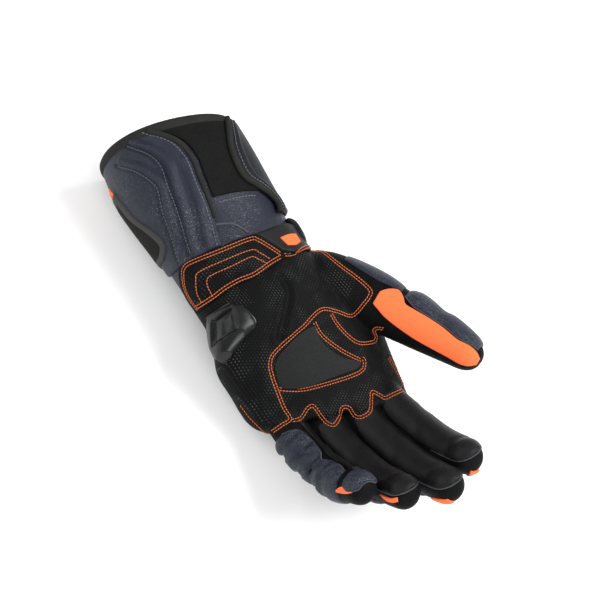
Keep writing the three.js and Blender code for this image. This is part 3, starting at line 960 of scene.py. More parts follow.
@dataclass(frozen=True)
class WovenFinish:
    """Matt woven cloth or loop pile."""

    name: str
    colour: Colour
    light: Colour
    pitch: float = 0.8 * MM
    rough: float = 0.85
    gloss: float = 0.08
    depth: float = 0.15 * MM
    pile: bool = False

    def make(self) -> bpy.types.Material:
        """Makes the cloth's nodes.

        Returns:
            The material.
        """
        shader = Shader(self.name, Specular_IOR_Level=self.gloss)
        drift = shader.noise(9 * MM, 3)
        if self.pile:
            threads = shader.cells(self.pitch).between(0.1, 0.75)
            height = threads + shader.noise(self.pitch * 0.5, 3) * 1.2
        else:
            slant = (shader.axis("X") + shader.axis("Y")) * (1 / self.pitch)
            threads = abs(slant % 1.0 - 0.5).between(0.1, 0.45)
            height = threads * 0.7 + shader.noise(self.pitch * 0.4, 2) * 0.6
        shader.colour(shader.mixed(threads * 0.45 + drift * 0.35, self.colour, self.light))
        shader.roughness(self.rough - drift * 0.1)
        shader.bump(height, self.depth, 0.7)
        return shader.material


@dataclass(frozen=True)
class MouldedFinish:
    """Moulded plastic or rubber with a faint haze of scuffs."""

    name: str
    colour: Colour
    light: Colour
    rough: float
    gloss: float
    depth: float = 0.03 * MM

    def make(self) -> bpy.types.Material:
        """Makes the moulding's nodes.

        Returns:
            The material.
        """
        shader = Shader(self.name, Specular_IOR_Level=self.gloss)
        drift = shader.noise(12 * MM, 3)
        scuffs = shader.noise(2.2 * MM, 5, (1.0, 0.2, 1.0)).between(0.58, 0.8)
        shader.colour(shader.mixed(drift * 0.4 + scuffs * 0.4, self.colour, self.light))
        shader.roughness(self.rough + scuffs * 0.25 + drift * 0.08)
        shader.bump(shader.noise(0.7 * MM, 2), self.depth, 0.5)
        return shader.material


@dataclass(frozen=True)
class PaperFinish:
    """Plain matt paper, for the floor."""

    name: str
    colour: Colour

    def make(self) -> bpy.types.Material:
        """The material."""
        paint = (*self.colour, 1.0)
        return Shader(self.name, Base_Color=paint, Roughness=0.9, Specular_IOR_Level=0.1).material


class Finishes:
    """Every finish of the glove, made once."""

    def __init__(self) -> None:
        """Makes the materials."""
        # Each leather's second colour is its painted highlight: light specks painted on grain tops and fold
        # crests, and on embossed dashes.
        navy_painted_highlight = (0.34, 0.355, 0.39)
        black, black_painted_highlight = (0.0036, 0.0037, 0.0038), (0.09, 0.092, 0.095)
        self.navy = LeatherFinish(
            "navy_leather", (0.0115, 0.0145, 0.0255), navy_painted_highlight,
            depth=0.3 * MM, speck=0.9, rough=0.36, gloss=0.2,
        ).make()
        # The navy leather darkened with painted shade, for the radial flap and the wrist pad.
        self.shaded = LeatherFinish(
            "shaded_leather", (0.005, 0.0058, 0.0085), navy_painted_highlight, speck=0.25, rough=0.45, gloss=0.1
        ).make()
        self.black = LeatherFinish(
            "black_leather", black, black_painted_highlight, speck=0.2, rough=0.38, gloss=0.16
        ).make()
        self.palm = LeatherFinish("palm_leather", black, (0.15, 0.155, 0.16), speck=0.1, embossed=True).make()
        self.smooth = LeatherFinish(
            "smooth_leather", (0.008, 0.0085, 0.0085), black_painted_highlight, depth=0.14 * MM, speck=0.08, gloss=0.1
        ).make()
        self.orange = LeatherFinish(
            "orange_leather", (0.82, 0.15, 0.05), (0.86, 0.22, 0.09),
            grain=0.8 * MM, depth=0.03 * MM, speck=0.3, rough=0.55,
        ).make()
        self.binding = WovenFinish("binding", (0.011, 0.011, 0.0105), (0.034, 0.034, 0.032)).make()
        self.loop = WovenFinish("loop_pile", (0.002, 0.0022, 0.002), (0.010, 0.011, 0.010), pile=True).make()
        self.lining = WovenFinish("lining", (0.008, 0.008, 0.008), (0.02, 0.02, 0.02)).make()
        self.thread = WovenFinish(
            "orange_thread", (0.50, 0.095, 0.028), (0.70, 0.24, 0.09), pitch=0.35 * MM, rough=0.6
        ).make()
        self.dark_thread = WovenFinish(
            "dark_thread", (0.05, 0.054, 0.066), (0.28, 0.29, 0.32), pitch=0.35 * MM, rough=0.55
        ).make()
        self.slider = MouldedFinish(
            "slider_plastic", (0.006, 0.0063, 0.0063), (0.016, 0.0165, 0.0165), rough=0.2, gloss=0.24
        ).make()
        self.guard = MouldedFinish(
            "guard_rubber", (0.032, 0.032, 0.032), (0.055, 0.055, 0.055), rough=0.5, gloss=0.1
        ).make()
        self.inset = MouldedFinish(
            "guard_inset", (0.006, 0.006, 0.005), (0.016, 0.016, 0.015), rough=0.7, gloss=0.1
        ).make()
        self.piping = WovenFinish("piping", (0.03, 0.032, 0.038), (0.12, 0.125, 0.14), pitch=0.5 * MM).make()


def make_piece(
    name: str,
    mesh: Mesh,
    material: bpy.types.Material,
    replaces: Sequence[str] = (),
    facets: float | None = None,
) -> bpy.types.Object:
    """Turns a mesh into a piece of the glove.

    Args:
        name: The piece's name.
        mesh: Its points and faces.
        material: Its finish.
        replaces: The frame's nodes that it stands for.
        facets: Angle in degrees above which an edge stays sharp. None shades it all smooth.

    Returns:
        The piece.
    """
    data = bpy.data.meshes.new(name)
    data.from_pydata([tuple(p) for p in mesh.points], [], mesh.faces)
    data.validate()
    data.polygons.foreach_set("use_smooth", np.ones(len(data.polygons), bool))
    data.update()
    if facets is not None:
        data.set_sharp_from_angle(angle=math.radians(facets))
    made = bpy.data.objects.new(name, data)
    bpy.context.scene.collection.objects.link(made)
    data.materials.append(material)
    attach(made, "root")
    if replaces:
        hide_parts(*replaces)
    return made


def padded(made: bpy.types.Object) -> bpy.types.Object:
    """Hands back a stuffed piece as it is."""
    return made


def points_of(made: bpy.types.Object) -> np.ndarray:
    """Reads the points of a piece's mesh.

    Args:
        made: The piece.

    Returns:
        The points, one to a row.
    """
    flat = np.empty(len(made.data.vertices) * 3)
    made.data.vertices.foreach_get("co", flat)
    return flat.reshape(-1, 3)


def carrier(pieces: Sequence[bpy.types.Object]) -> BVHTree:
    """Makes a search tree over several pieces' faces.

    Args:
        pieces: The pieces.

    Returns:
        The tree.
    """
    points, faces, first = [], [], 0
    for made in pieces:
        own = points_of(made)
        points.extend(map(tuple, own))
        faces.extend([tuple(first + i for i in face.vertices) for face in made.data.polygons])
        first += len(own)
    return BVHTree.FromPolygons(points, faces)


def facing(normal: Vector, ahead: Vector) -> Vector:
    """A normal turned to the side that a direction points to."""
    return normal if normal.dot(ahead) > 0 else -normal


class Lamp(NamedTuple):
    """A square soft lamp: where it hangs, its side in metres and its power in watts."""

    name: str
    place: tuple[float, float, float]
    side: float
    watts: float


LAMPS = (
    Lamp("key", (-0.75, 0.35, 1.15), 0.9, 24),
    Lamp("fill", (0.9, -0.7, 0.9), 1.2, 13),
    Lamp("edge", (0.4, 1.2, 0.7), 0.6, 9),
)


@dataclass
class Studio:
    """The camera at the photograph's angle, with the floor and soft lights."""

    azimuth: float = 107
    elevation: float = 61.5
    roll: float = 43
    target: tuple[float, float, float] = (-0.010, 0.010, 0.030)
    distance: float = 1.4
    lens: float = 121
    sensor: float = 36
    aside: float = -20
    middle: tuple[float, float] = (290, 330)
    most_moved: int = 14
    sky: float = 0.5
    floor_side: float = 6.0
    floor_colour: Colour = (0.92, 0.92, 0.92)

    def __post_init__(self) -> None:
        """Works out the camera's axes."""
        azimuth, elevation, roll = map(math.radians, (self.azimuth, self.elevation, self.roll))
        flat = math.cos(elevation)
        self.back = np.array([math.sin(azimuth) * flat, -math.cos(azimuth) * flat, math.sin(elevation)])
        level = unit(np.cross([0, 0, 1], self.back))
        upright = np.cross(self.back, level)
        self.right = math.cos(roll) * level + math.sin(roll) * upright
        self.up = -math.sin(roll) * level + math.cos(roll) * upright
        self.focal = self.lens * IMAGE_SIDE / self.sensor
        self.eye = np.array(self.target)

    def aim(self, origin: np.ndarray) -> None:
        """Sets the camera's place from the wrist's place in the frame."""
        self.eye = np.array(self.target) + origin + self.back * self.distance

    def camera(self) -> None:
        """Makes the scene's camera."""
        data = bpy.data.cameras.new("camera")
        data.lens = self.lens
        data.sensor_width = self.sensor
        data.shift_x = -self.aside / IMAGE_SIDE
        made = bpy.data.objects.new("camera", data)
        bpy.context.scene.collection.objects.link(made)
        columns = [(*self.right, 0), (*self.up, 0), (*self.back, 0), (*self.eye, 1)]
        made.matrix_world = Matrix(columns).transposed()
        bpy.context.scene.camera = made

    def pixels(self, points: np.ndarray) -> np.ndarray:
        """Finds where points show.

        Args:
            points: The points, one to a row.

        Returns:
            Their places in the camera's frame, in pixels.
        """
        arm = points - self.eye
        depth = -(arm @ self.back)
        x = IMAGE_SIDE / 2 + self.focal * (arm @ self.right) / depth + self.aside
        y = IMAGE_SIDE / 2 - self.focal * (arm @ self.up) / depth
        return np.stack([x, y], -1)

    def ray(self, pixel: np.ndarray) -> Vector:
        """Finds where the camera looks through a pixel.

        Args:
            pixel: The pixel's place in the camera's frame.

        Returns:
            The direction.
        """
        x = (pixel[0] - IMAGE_SIDE / 2 - self.aside) / self.focal
        y = (IMAGE_SIDE / 2 - pixel[1]) / self.focal
        return Vector(unit(self.right * x + self.up * y - self.back))

    def cast(self, tree: BVHTree, line: FrameLine, step: float = 0.7) -> "Trace":
        """Lays a line on what the camera sees there.

        A place that misses the surfaces moves towards the frame's middle until it meets them.

        Args:
            tree: The surfaces that carry the line.
            line: The line's corners in the camera's frame.
            step: Distance between samples, in pixels.

        Returns:
            The line on the surfaces.
        """
        places, normals = [], []
        for pixel in smooth_line(np.array(line, float), step):
            inward = unit(np.array(self.middle) - pixel)
            for moved in range(self.most_moved):
                place, normal, _, _ = tree.ray_cast(Vector(self.eye), self.ray(pixel + inward * moved))
                if place is not None:
                    places.append(place)
                    normals.append(facing(normal, Vector(self.back)))
                    break
        return Trace(np.array(places).reshape(-1, 3), np.array(normals).reshape(-1, 3))

    def stage(self) -> None:
        """Makes the floor, the sky and the lamps."""
        world = bpy.data.worlds.new("sky")
        world.use_nodes = True
        world.node_tree.nodes["Background"].inputs[0].default_value = (1, 1, 1, 1)
        world.node_tree.nodes["Background"].inputs[1].default_value = self.sky
        bpy.context.scene.world = world
        bpy.context.scene.view_settings.view_transform = "Standard"
        side = self.floor_side
        corners = [(-side, -side, 0), (side, -side, 0), (side, side, 0), (-side, side, 0)]
        data = bpy.data.meshes.new("floor")
        data.from_pydata(corners, [], [(0, 1, 2, 3)])
        floor = bpy.data.objects.new("floor", data)
        data.materials.append(PaperFinish("floor", self.floor_colour).make())
        bpy.context.scene.collection.objects.link(floor)
        for lamp in LAMPS:
            self.light(lamp)

    def light(self, lamp: Lamp) -> None:
        """Hangs a lamp that looks at the glove.

        Args:
            lamp: The lamp's line in the table.
        """
        data = bpy.data.lights.new(lamp.name, "AREA")
        data.size = lamp.side
        data.energy = lamp.watts
        made = bpy.data.objects.new(lamp.name, data)
        bpy.context.scene.collection.objects.link(made)
        made.location = lamp.place
        made.rotation_mode = "QUATERNION"
        made.rotation_quaternion = (-Vector(lamp.place)).to_track_quat("-Z", "Y")


@dataclass
class Trace:
    """A line that lies on the glove, with the surface's directions."""

    places: np.ndarray
    normals: np.ndarray

    def beside(self, tree: BVHTree, aside: float) -> "Trace":
        """The same line moved sideways along the surface.

        Args:
            tree: The surfaces.
            aside: How far, to the right of the line's direction.

        Returns:
            The moved line.
        """
        forward = unit(np.gradient(self.places, axis=0))
        moved = self.places + np.cross(forward, self.normals) * aside
        places, normals = [], []
        for point, old in zip(moved, self.normals):
            place, normal, _, _ = tree.find_nearest(Vector(point))
            places.append(place)
            normals.append(facing(normal, Vector(old)))
        return Trace(np.array(places), np.array(normals))


class StitchPoint(NamedTuple):
    """A point of a stitch: its share of the length, its height and its share of the radius."""

    at: float
    height: float
    thick: float


STITCH = (
    StitchPoint(0.0, -0.25 * MM, 0.55),
    StitchPoint(0.14, 0.12 * MM, 0.9),
    StitchPoint(0.5, 0.30 * MM, 1.0),
    StitchPoint(0.86, 0.12 * MM, 0.9),
    StitchPoint(1.0, -0.25 * MM, 0.55),
)


@dataclass
class Stitching:
    """Rows of thread that dip in and out of the leather."""

    pitch: float = 2.1 * MM
    length: float = 1.65 * MM
    radius: float = 0.34 * MM
    gap: float = 2.0 * MM
    lead: float = 0.3 * MM
    longest_step: float = 2 * MM
    most_stretch: float = 1.4
    sides: int = 6
    fewest: int = 4

    def row(self, line: Trace) -> list[Mesh]:
        """Sews along a line, and leaves out stitches that would bridge a gap.

        Args:
            line: The line on the leather.

        Returns:
            The stitches.
        """
        if len(line.places) < self.fewest:
            return []
        steps = np.linalg.norm(np.diff(line.places, axis=0), axis=1)
        lengths = np.concatenate([[0], np.cumsum(np.minimum(steps, self.longest_step))])
        at, heights, thick = np.array(STITCH).T
        made = []
        for start in np.arange(self.lead, lengths[-1] - self.length, self.pitch):
            where = start + self.length * at
            places = np.stack([np.interp(where, lengths, c) for c in line.places.T], 1)
            normals = unit(np.stack([np.interp(where, lengths, c) for c in line.normals.T], 1))
            if np.linalg.norm(places[-1] - places[0]) < self.most_stretch * self.length:
                made.append(tube(places + normals * heights[:, None], self.radius * thick, self.sides))
        return made

    def double(self, line: Trace, tree: BVHTree) -> list[Mesh]:
        """Two rows, on both sides of a line."""
        sides = [line.beside(tree, self.gap / 2 * side) for side in (-1, 1)]
        return [stitch for side in sides for stitch in self.row(side)]


PALM_OUTLINE: FrameLine = (
    (196, 308), (191, 301), (185, 289), (183, 274), (183, 267), (252, 238), (281, 253), (293, 253),
    (304, 247), (316, 247), (342, 267), (372, 292), (369, 297), (357, 311), (350, 316), (338, 311),
    (348, 336), (360, 344), (373, 342), (376, 338), (388, 356), (400, 379), (403, 390), (385, 398),
    (370, 393), (370, 411), (357, 417), (348, 408), (339, 417), (333, 425), (321, 417), (313, 406),
    (302, 417), (292, 420), (272, 431), (255, 425), (236, 408), (215, 370), (200, 330),
)
DOUBLE_SEAMS: dict[str, FrameLine] = {
    "chevron_top": (
        (198, 310), (191, 301), (185, 289), (183, 276), (184, 268), (192, 262), (222, 250), (250, 239),
        (258, 240), (270, 247), (282, 255),
    ),
    "chevron_bottom": ((196, 308), (213, 297), (225, 288), (239, 280), (254, 274), (270, 263), (282, 256)),
    "thumb_ball": (
        (284, 255), (293, 254), (304, 248), (311, 246), (317, 248), (327, 255), (342, 267), (357, 278),
        (370, 290), (369, 297), (363, 305), (357, 312), (350, 316), (338, 312), (325, 309), (316, 313),
        (304, 326), (298, 331), (275, 352), (270, 363), (272, 376), (278, 393), (284, 408), (290, 419),
        (282, 425), (272, 432),
    ),
    "patch_side": ((314, 322), (320, 333), (328, 341), (344, 352), (362, 361)),
    "patch_knuckle": (
        (279, 389), (292, 390), (307, 389), (333, 382), (354, 375), (363, 369), (364, 360), (360, 358),
    ),
    "thumb_crease": (
        (331, 314), (337, 324), (348, 336), (359, 343), (373, 342), (376, 337), (374, 331), (377, 328),
        (385, 329),
    ),
    "scallops": (
        (292, 421), (301, 418), (307, 409), (313, 406), (320, 415), (327, 423), (334, 425), (339, 418),
        (342, 408), (349, 408), (355, 416), (362, 417), (370, 411), (371, 399), (372, 392), (379, 395),
        (385, 398), (394, 394), (403, 390),
    ),
    "index_side": ((388, 357), (395, 369), (402, 382), (403, 389)),
}
SINGLE_SEAMS: dict[str, FrameLine] = {
    "chevron_outer_lane": (
        (202, 303), (197, 293), (196, 280), (199, 272), (225, 260), (251, 250), (260, 253), (270, 259),
    ),
    "chevron_inner_lane": (
        (213, 297), (208, 287), (207, 280), (212, 275), (232, 266), (251, 257), (258, 259), (268, 264),
    ),
    "heel_edge": ((240, 405), (250, 418), (262, 430), (270, 438)),
}
PALM_FOLD: FrameLine = ((281, 276), (289, 290), (288, 305), (284, 322), (281, 338))


def inside(places: np.ndarray, outline: FrameLine) -> np.ndarray:
    """Finds which places lie inside an outline.

    Args:
        places: Places in the camera's frame, one to a row.
        outline: The outline's corners.

    Returns:
        True for each place inside.
    """
    within = np.zeros(len(places), bool)
    x, y = places.T
    corners = np.array(outline, float)
    for (ax, ay), (bx, by) in zip(corners, np.roll(corners, -1, 0)):
        crosses = (ay > y) != (by > y)
        level = ax + (y - ay) * (bx - ax) / np.where(by == ay, 1e-9, by - ay)
        within ^= crosses & (x < level)
    return within


class Wave(NamedTuple):
    """A wave of the leather's slow unevenness: radians in a metre along X, Y and Z, and its start."""

    x: float
    y: float
    z: float
    start: float


WAVES = (Wave(90, 35, 20, 0.3), Wave(-60, 110, 45, 1.7), Wave(150, -80, 60, 4.1), Wave(240, 190, -90, 2.2))
# A wave with this many radians in a metre has the full height, and faster ones are lower.
FULL_WAVE = 22
THUMB_CREASES = (0.34, 0.47, 0.6)
FINGER_CREASES = (0.3, 0.36, 0.55, 0.61, 0.8)


@dataclass
class LeatherSkin:
    """The glove's leather: cuff, palm, back, fingers and thumb, hollow inside."""

    shape: GloveShape
    studio: Studio
    finishes: Finishes
    voxel: float = 1.35 * MM
    softening: int = 5
    body_sides: int = 96
    body_rings: int = 60
    first_reach: float = -1.05
    digit_sides: int = 40
    digit_rings: int = 40
    dome_step: float = 8
    cuff_edge: float = -0.15
    trace_step: float = 2.0
    seam_depth: float = 0.45 * MM
    seam_width: float = 2.6 * MM
    fold_depth: float = 2.3 * MM
    fold_width: float = 4 * MM
    lip_height: float = 0.6 * MM
    lip_away: float = 5.5 * MM
    crease_depth: float = 0.4 * MM
    crease_width: float = 4.0 * MM
    ripple_height: float = 0.35 * MM
    calm_height: float = 4 * MM
    deepest: float = 2 * MM
    grazing: float = 0.05

    def core(self) -> bpy.types.Object:
        """Melts the body and the digits into one smooth surface.

        Returns:
            The surface, as an object.
        """
        turn = np.arange(self.body_sides) * 360 / self.body_sides
        reach = np.linspace(self.first_reach, 1.0, self.body_rings)[:, None]
        clipped = np.maximum(reach, -1)
        rings = self.shape.body.points(turn, clipped)
        rings[:, :, 1] += (reach - clipped) * self.shape.body.cuff_length
        meshes = [ring_mesh(rings)]
        turn = np.arange(self.digit_sides) * 360 / self.digit_sides
        for digit in self.shape.digits.values():
            straight = np.linspace(0, digit.dome, self.digit_rings, endpoint=False)
            rise = np.sin(np.radians(np.arange(0, 86, self.dome_step)))
            s = np.concatenate([straight, digit.dome + (1 - digit.dome) * rise])[:, None]
            meshes.append(ring_mesh(digit.points(turn, s)))
        mesh = joined(meshes)
        data = bpy.data.meshes.new("core")
        data.from_pydata([tuple(p) for p in mesh.points], [], mesh.faces)
        made = bpy.data.objects.new("core", data)
        bpy.context.scene.collection.objects.link(made)
        remesh = made.modifiers.new("remesh", "REMESH")
        remesh.mode = "VOXEL"
        remesh.voxel_size = self.voxel
        soften = made.modifiers.new("soften", "SMOOTH")
        soften.iterations = self.softening
        bpy.context.view_layer.update()
        graph = bpy.context.evaluated_depsgraph_get()
        made.data = bpy.data.meshes.new_from_object(made.evaluated_get(graph))
        made.modifiers.clear()
        return made

    def shaped(self, core: bpy.types.Object) -> tuple[np.ndarray, np.ndarray, np.ndarray]:
        """Works creases and seams into the core's points.

        Args:
            core: The smooth surface.

        Returns:
            The points, their reaches and how far each is embossed.
        """
        points = points_of(core)
        normals = np.empty(len(points) * 3)
        core.data.vertices.foreach_get("normal", normals)
        normals = normals.reshape(-1, 3)
        _, reach = self.shape.body.place(points)
        tree = carrier([core])
        push = np.zeros(len(points))
        for line in [*DOUBLE_SEAMS.values(), *SINGLE_SEAMS.values()]:
            seam = self.studio.cast(tree, line, self.trace_step)
            push -= self.seam_depth * bell(distance_to(points, seam.places), self.seam_width)
        fold = self.studio.cast(tree, PALM_FOLD, self.trace_step)
        near = distance_to(points, fold.places)
        push -= self.fold_depth * bell(near, self.fold_width)
        push += self.lip_height * bell(np.abs(near - self.lip_away), self.fold_width)
        push += self.finger_creases(points)
        push += self.ripples(points) * np.clip(points[:, 2] / self.calm_height, 0, 1)
        push = np.maximum(push, -self.deepest)
        moved = points + normals * push[:, None]
        moved[:, 2] = np.maximum(moved[:, 2], 0.0)
        seen = normals @ self.studio.back > self.grazing
        emboss = seen & inside(self.studio.pixels(points), PALM_OUTLINE)
        return moved, reach, emboss.astype(float)

    def finger_creases(self, points: np.ndarray) -> np.ndarray:
        """Folds across the palm sides of the digits, where they bend.

        Args:
            points: The leather's points.

        Returns:
            How far each point moves outwards.
        """
        widest, first, slant, past_side = 1.12, 0.2, 0.02, 0.2
        push = np.zeros(len(points))
        for name, digit in self.shape.digits.items():
            turn, s, radii = digit.place(points)
            facing_palm = np.clip(np.sin(np.radians(turn)) + past_side, 0, 1)
            on = (radii < widest) & (s > first)
            for k, at in enumerate(THUMB_CREASES if name == THUMB.name else FINGER_CREASES):
                slanted = at + slant * np.cos(np.radians(turn)) * (-1) ** k
                near = bell(np.abs(s - slanted) * digit.length, self.crease_width)
                push -= on * facing_palm * self.crease_depth * near
        return push

    def ripples(self, points: np.ndarray) -> np.ndarray:
        """Slow unevenness of worn leather.

        Args:
            points: The leather's points.

        Returns:
            How far each point moves outwards.
        """
        total = np.zeros(len(points))
        for wave in WAVES:
            rise = np.sin(points @ np.array([wave.x, wave.y, wave.z]) + wave.start)
            total += rise * FULL_WAVE / math.hypot(wave.x, wave.y)
        return total * self.ripple_height

    def build(self) -> list[bpy.types.Object]:
        """Makes the cuff's and the hand's leather.

        Returns:
            The two pieces.
        """
        core = self.core()
        points, reach, emboss = self.shaped(core)
        faces = [tuple(face.vertices) for face in core.data.polygons]
        bpy.data.objects.remove(core)
        middles = np.array([reach[list(face)].mean() for face in faces])
        on_cuff = (middles > -1.0) & (middles <= self.cuff_edge)
        cuff = self.part("cuff_leather", points, faces, on_cuff, emboss)
        hand = self.part("hand_leather", points, faces, middles > self.cuff_edge, emboss)
        cuff.data.materials[0] = self.finishes.navy
        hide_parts("gauntlet_cuff")
        stalls = [f"{name}_stall" for name in self.shape.digits]
        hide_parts("hand_shell", *stalls)
        return [cuff, hand]

    def part(
        self,
        name: str,
        points: np.ndarray,
        faces: list[tuple[int, ...]],
        keep: np.ndarray,
        emboss: np.ndarray,
    ) -> bpy.types.Object:
        """Makes some of the faces into a hollow leather piece.

        Args:
            name: The piece's name.
            points: All the points.
            faces: All the faces.
            keep: Which faces the piece has.
            emboss: How far each point is embossed.

        Returns:
            The piece.
        """
        kept = [face for face, wanted in zip(faces, keep) if wanted]
        used = np.unique(np.concatenate([np.array(face) for face in kept]))
        number = np.full(len(points), -1)
        number[used] = np.arange(len(used))
        mesh = Mesh(points[used], [tuple(int(number[i]) for i in face) for face in kept])
        made = make_piece(name, mesh, self.finishes.palm)
        made.data.materials.append(self.finishes.lining)
        made.data.attributes.new("emboss", "FLOAT", "POINT").data.foreach_set("value", emboss[used])
        wall = made.modifiers.new("wall", "SOLIDIFY")
        wall.thickness = self.shape.leather
        wall.offset = -1
        wall.material_offset = 1
        graph = bpy.context.evaluated_depsgraph_get()
        made.data = bpy.data.meshes.new_from_object(made.evaluated_get(graph))
        made.modifiers.clear()
        return made


def panel_rows(*lines: tuple[float, ...]) -> tuple[Row, ...]:
    """A panel's table from lines of turn, reach, turn_to, reach_to and, where it changes, rise."""
    return tuple(Row(*line) for line in lines)


ULNAR_FLAP = panel_rows(
    (-42, -0.985, 58, -0.985), (-42, -0.92, 72, -0.92), (-42, -0.86, 79, -0.86), (-42, -0.77, 81, -0.77),
    (-42, -0.67, 79, -0.67), (-40, -0.57, 77, -0.56), (-36, -0.47, 74, -0.46), (-30, -0.37, 68, -0.32),
)
LOOP_PANEL = panel_rows(
    (63, -0.985, 134, -0.985), (77, -0.92, 129, -0.92), (84, -0.86, 126, -0.86), (86, -0.77, 120, -0.76),
    (84, -0.67, 118, -0.65), (82, -0.56, 122, -0.5),
)
RADIAL_FLAP = panel_rows(
    (131, -0.985, 222, -0.985), (121, -0.87, 222, -0.87), (114, -0.77, 220, -0.77), (111, -0.65, 218, -0.66),
    (113, -0.58, 216, -0.59), (122, -0.52, 214, -0.52), (132, -0.46, 212, -0.46), (138, -0.4, 210, -0.4),
    (133, -0.34, 208, -0.34),
)
CUFF_GUARD = panel_rows(
    (-40, -0.83, -3, -0.84), (-46, -0.75, 0, -0.76), (-48, -0.66, 3, -0.67), (-48, -0.57, 14, -0.57),
    (-46, -0.5, 18, -0.5), (-42, -0.45, 12, -0.46), (-34, -0.43, 0, -0.435),
)
GUARD_INSET = panel_rows(
    (-32, -0.78, -10, -0.79), (-38, -0.68, -5, -0.69), (-38, -0.58, 5, -0.585), (-34, -0.5, 10, -0.5),
    (-28, -0.465, -1, -0.465),
)
CUFF_FLASH = panel_rows((-30, -0.88, -12, -0.88), (-30, -0.81, -6, -0.81), (-30, -0.73, -11, -0.73))
WRIST_PATCH = panel_rows(
    (-6, -0.17, -4, -0.09), (-3, -0.25, 2, -0.088), (4, -0.31, 8, -0.086), (17, -0.35, 20, -0.084),
    (32, -0.348, 33, -0.086), (50, -0.33, 50, -0.088), (67, -0.314, 66, -0.086), (90, -0.295, 84, -0.078),
    (98, -0.255, 94, -0.086), (104, -0.187, 100, -0.092), (109, -0.13, 106, -0.098),
)
WRIST_STRAP = panel_rows(
    (94, -0.285, 108, -0.135), (112, -0.275, 118, -0.105), (132, -0.27, 134, -0.095),
    (152, -0.25, 152, -0.09), (175, -0.24, 175, -0.1), (200, -0.23, 200, -0.11), (222, -0.22, 222, -0.12),
)
WRIST_PAD = panel_rows(
    (140, -0.295, 205, -0.295, 0.3), (146, -0.26, 208, -0.26), (146, -0.2, 208, -0.2),
    (149, -0.14, 205, -0.14, 0.3),
)
STRAP_TAB = panel_rows((112, -0.205, 115, -0.15), (123, -0.205, 125, -0.135), (134, -0.195, 134, -0.145))
PALM_PATCH = panel_rows(
    (91, 0.375, 95, 0.378), (79, 0.405, 93, 0.42), (66, 0.45, 92, 0.47), (59, 0.5, 92, 0.52),
    (56, 0.57, 94, 0.58), (55, 0.64, 99, 0.65), (58, 0.695, 107, 0.7), (67, 0.732, 110, 0.728),
    (78, 0.752, 104, 0.752),
)
PALM_SLIDER = panel_rows(
    (4, -0.04, 46, -0.028, 0.6), (-6, 0.03, 54, 0.02, 0.9), (-12, 0.1, 59, 0.1), (-9, 0.16, 62, 0.17),
    (0, 0.22, 57, 0.21, 0.9), (9, 0.26, 42, 0.25, 0.8), (17, 0.297, 27, 0.29, 0.6),
)
THUMB_PANEL = panel_rows(
    (80, 0.41, 108, 0.412), (74, 0.445, 124, 0.445), (67, 0.485, 134, 0.487), (63, 0.52, 124, 0.525),
    (60, 0.55, 112, 0.552), (56, 0.6, 111, 0.6), (50, 0.68, 112, 0.68), (47, 0.77, 111, 0.77),
    (45, 0.86, 105, 0.86), (42, 0.92, 110, 0.92), (44, 0.965, 110, 0.965), (56, 0.992, 100, 0.992),
)
THUMB_PAD = panel_rows(
    (128, 0.53, 206, 0.53, 0.3), (117, 0.59, 206, 0.59), (115, 0.66, 206, 0.66, 0.9),
    (115, 0.72, 206, 0.72, 0.6), (115, 0.78, 204, 0.78), (110, 0.86, 200, 0.86, 0.9),
    (114, 0.92, 196, 0.92, 0.6), (120, 0.965, 186, 0.965, 0.3),
)
THUMB_ROOT_PAD = panel_rows(
    (142, 0.18, 206, 0.18, 0.3), (134, 0.27, 208, 0.27, 0.8), (130, 0.36, 208, 0.36),
    (132, 0.43, 208, 0.43, 0.9), (138, 0.5, 206, 0.5, 0.3),
)
FINGER_PAD = panel_rows(
    (232, 0.36, 308, 0.36, 0.3), (226, 0.42, 314, 0.42), (226, 0.5, 314, 0.5), (228, 0.56, 312, 0.56, 0.4),
    (226, 0.62, 314, 0.62), (226, 0.7, 314, 0.7), (230, 0.78, 310, 0.78, 0.3),
)
LITTLE_PAD = panel_rows(
    (-112, 0.25, 40, 0.25, 0.4), (-118, 0.29, 85, 0.29), (-120, 0.36, 99, 0.36), (-120, 0.45, 99, 0.45),
    (-120, 0.54, 91, 0.54, 0.6), (-120, 0.59, 74, 0.6, 0.4), (-120, 0.65, 87, 0.66), (-118, 0.74, 91, 0.75),
    (-114, 0.82, 80, 0.83, 0.4),
)
FINGER_PALM = panel_rows(
    (44, 0.2, 136, 0.2, 0.0), (28, 0.27, 152, 0.27, 0.3), (25, 0.38, 155, 0.38), (26, 0.55, 154, 0.55),
    (24, 0.72, 156, 0.72), (22, 0.86, 158, 0.86), (22, 0.93, 158, 0.93), (26, 0.965, 154, 0.965),
    (38, 0.986, 142, 0.986), (62, 0.995, 118, 0.995),
)
LITTLE_PALM = panel_rows(
    (106, 0.2, 150, 0.2), (116, 0.32, 158, 0.32), (116, 0.45, 158, 0.45), (104, 0.55, 156, 0.55),
    (102, 0.64, 156, 0.64), (108, 0.73, 156, 0.73), (100, 0.82, 148, 0.82), (106, 0.85, 134, 0.85),
)
TIP_CAP = panel_rows(
    (30, 0.88, 168, 0.88), (18, 0.915, 172, 0.915), (16, 0.945, 174, 0.945), (24, 0.972, 170, 0.972),
    (44, 0.99, 150, 0.99),
)
TIP_SLIPS = {
    "index": panel_rows(
        (-88, 0.92, -66, 0.92), (-98, 0.95, -60, 0.95), (-104, 0.97, -50, 0.97), (-96, 0.985, -40, 0.985)
    ),
    "middle": panel_rows(
        (-36, 0.87, -24, 0.87), (-44, 0.91, -18, 0.91), (-56, 0.95, -18, 0.95), (-68, 0.98, -26, 0.98)
    ),
    "ring": panel_rows((8, 0.84, 12, 0.84), (-3, 0.88, 11, 0.88), (-5, 0.93, 11, 0.93), (0, 0.97, 18, 0.97)),
    "little": panel_rows(
        (4, 0.82, 12, 0.82), (6, 0.87, 28, 0.87), (10, 0.92, 32, 0.92), (16, 0.96, 32, 0.96)
    ),
}
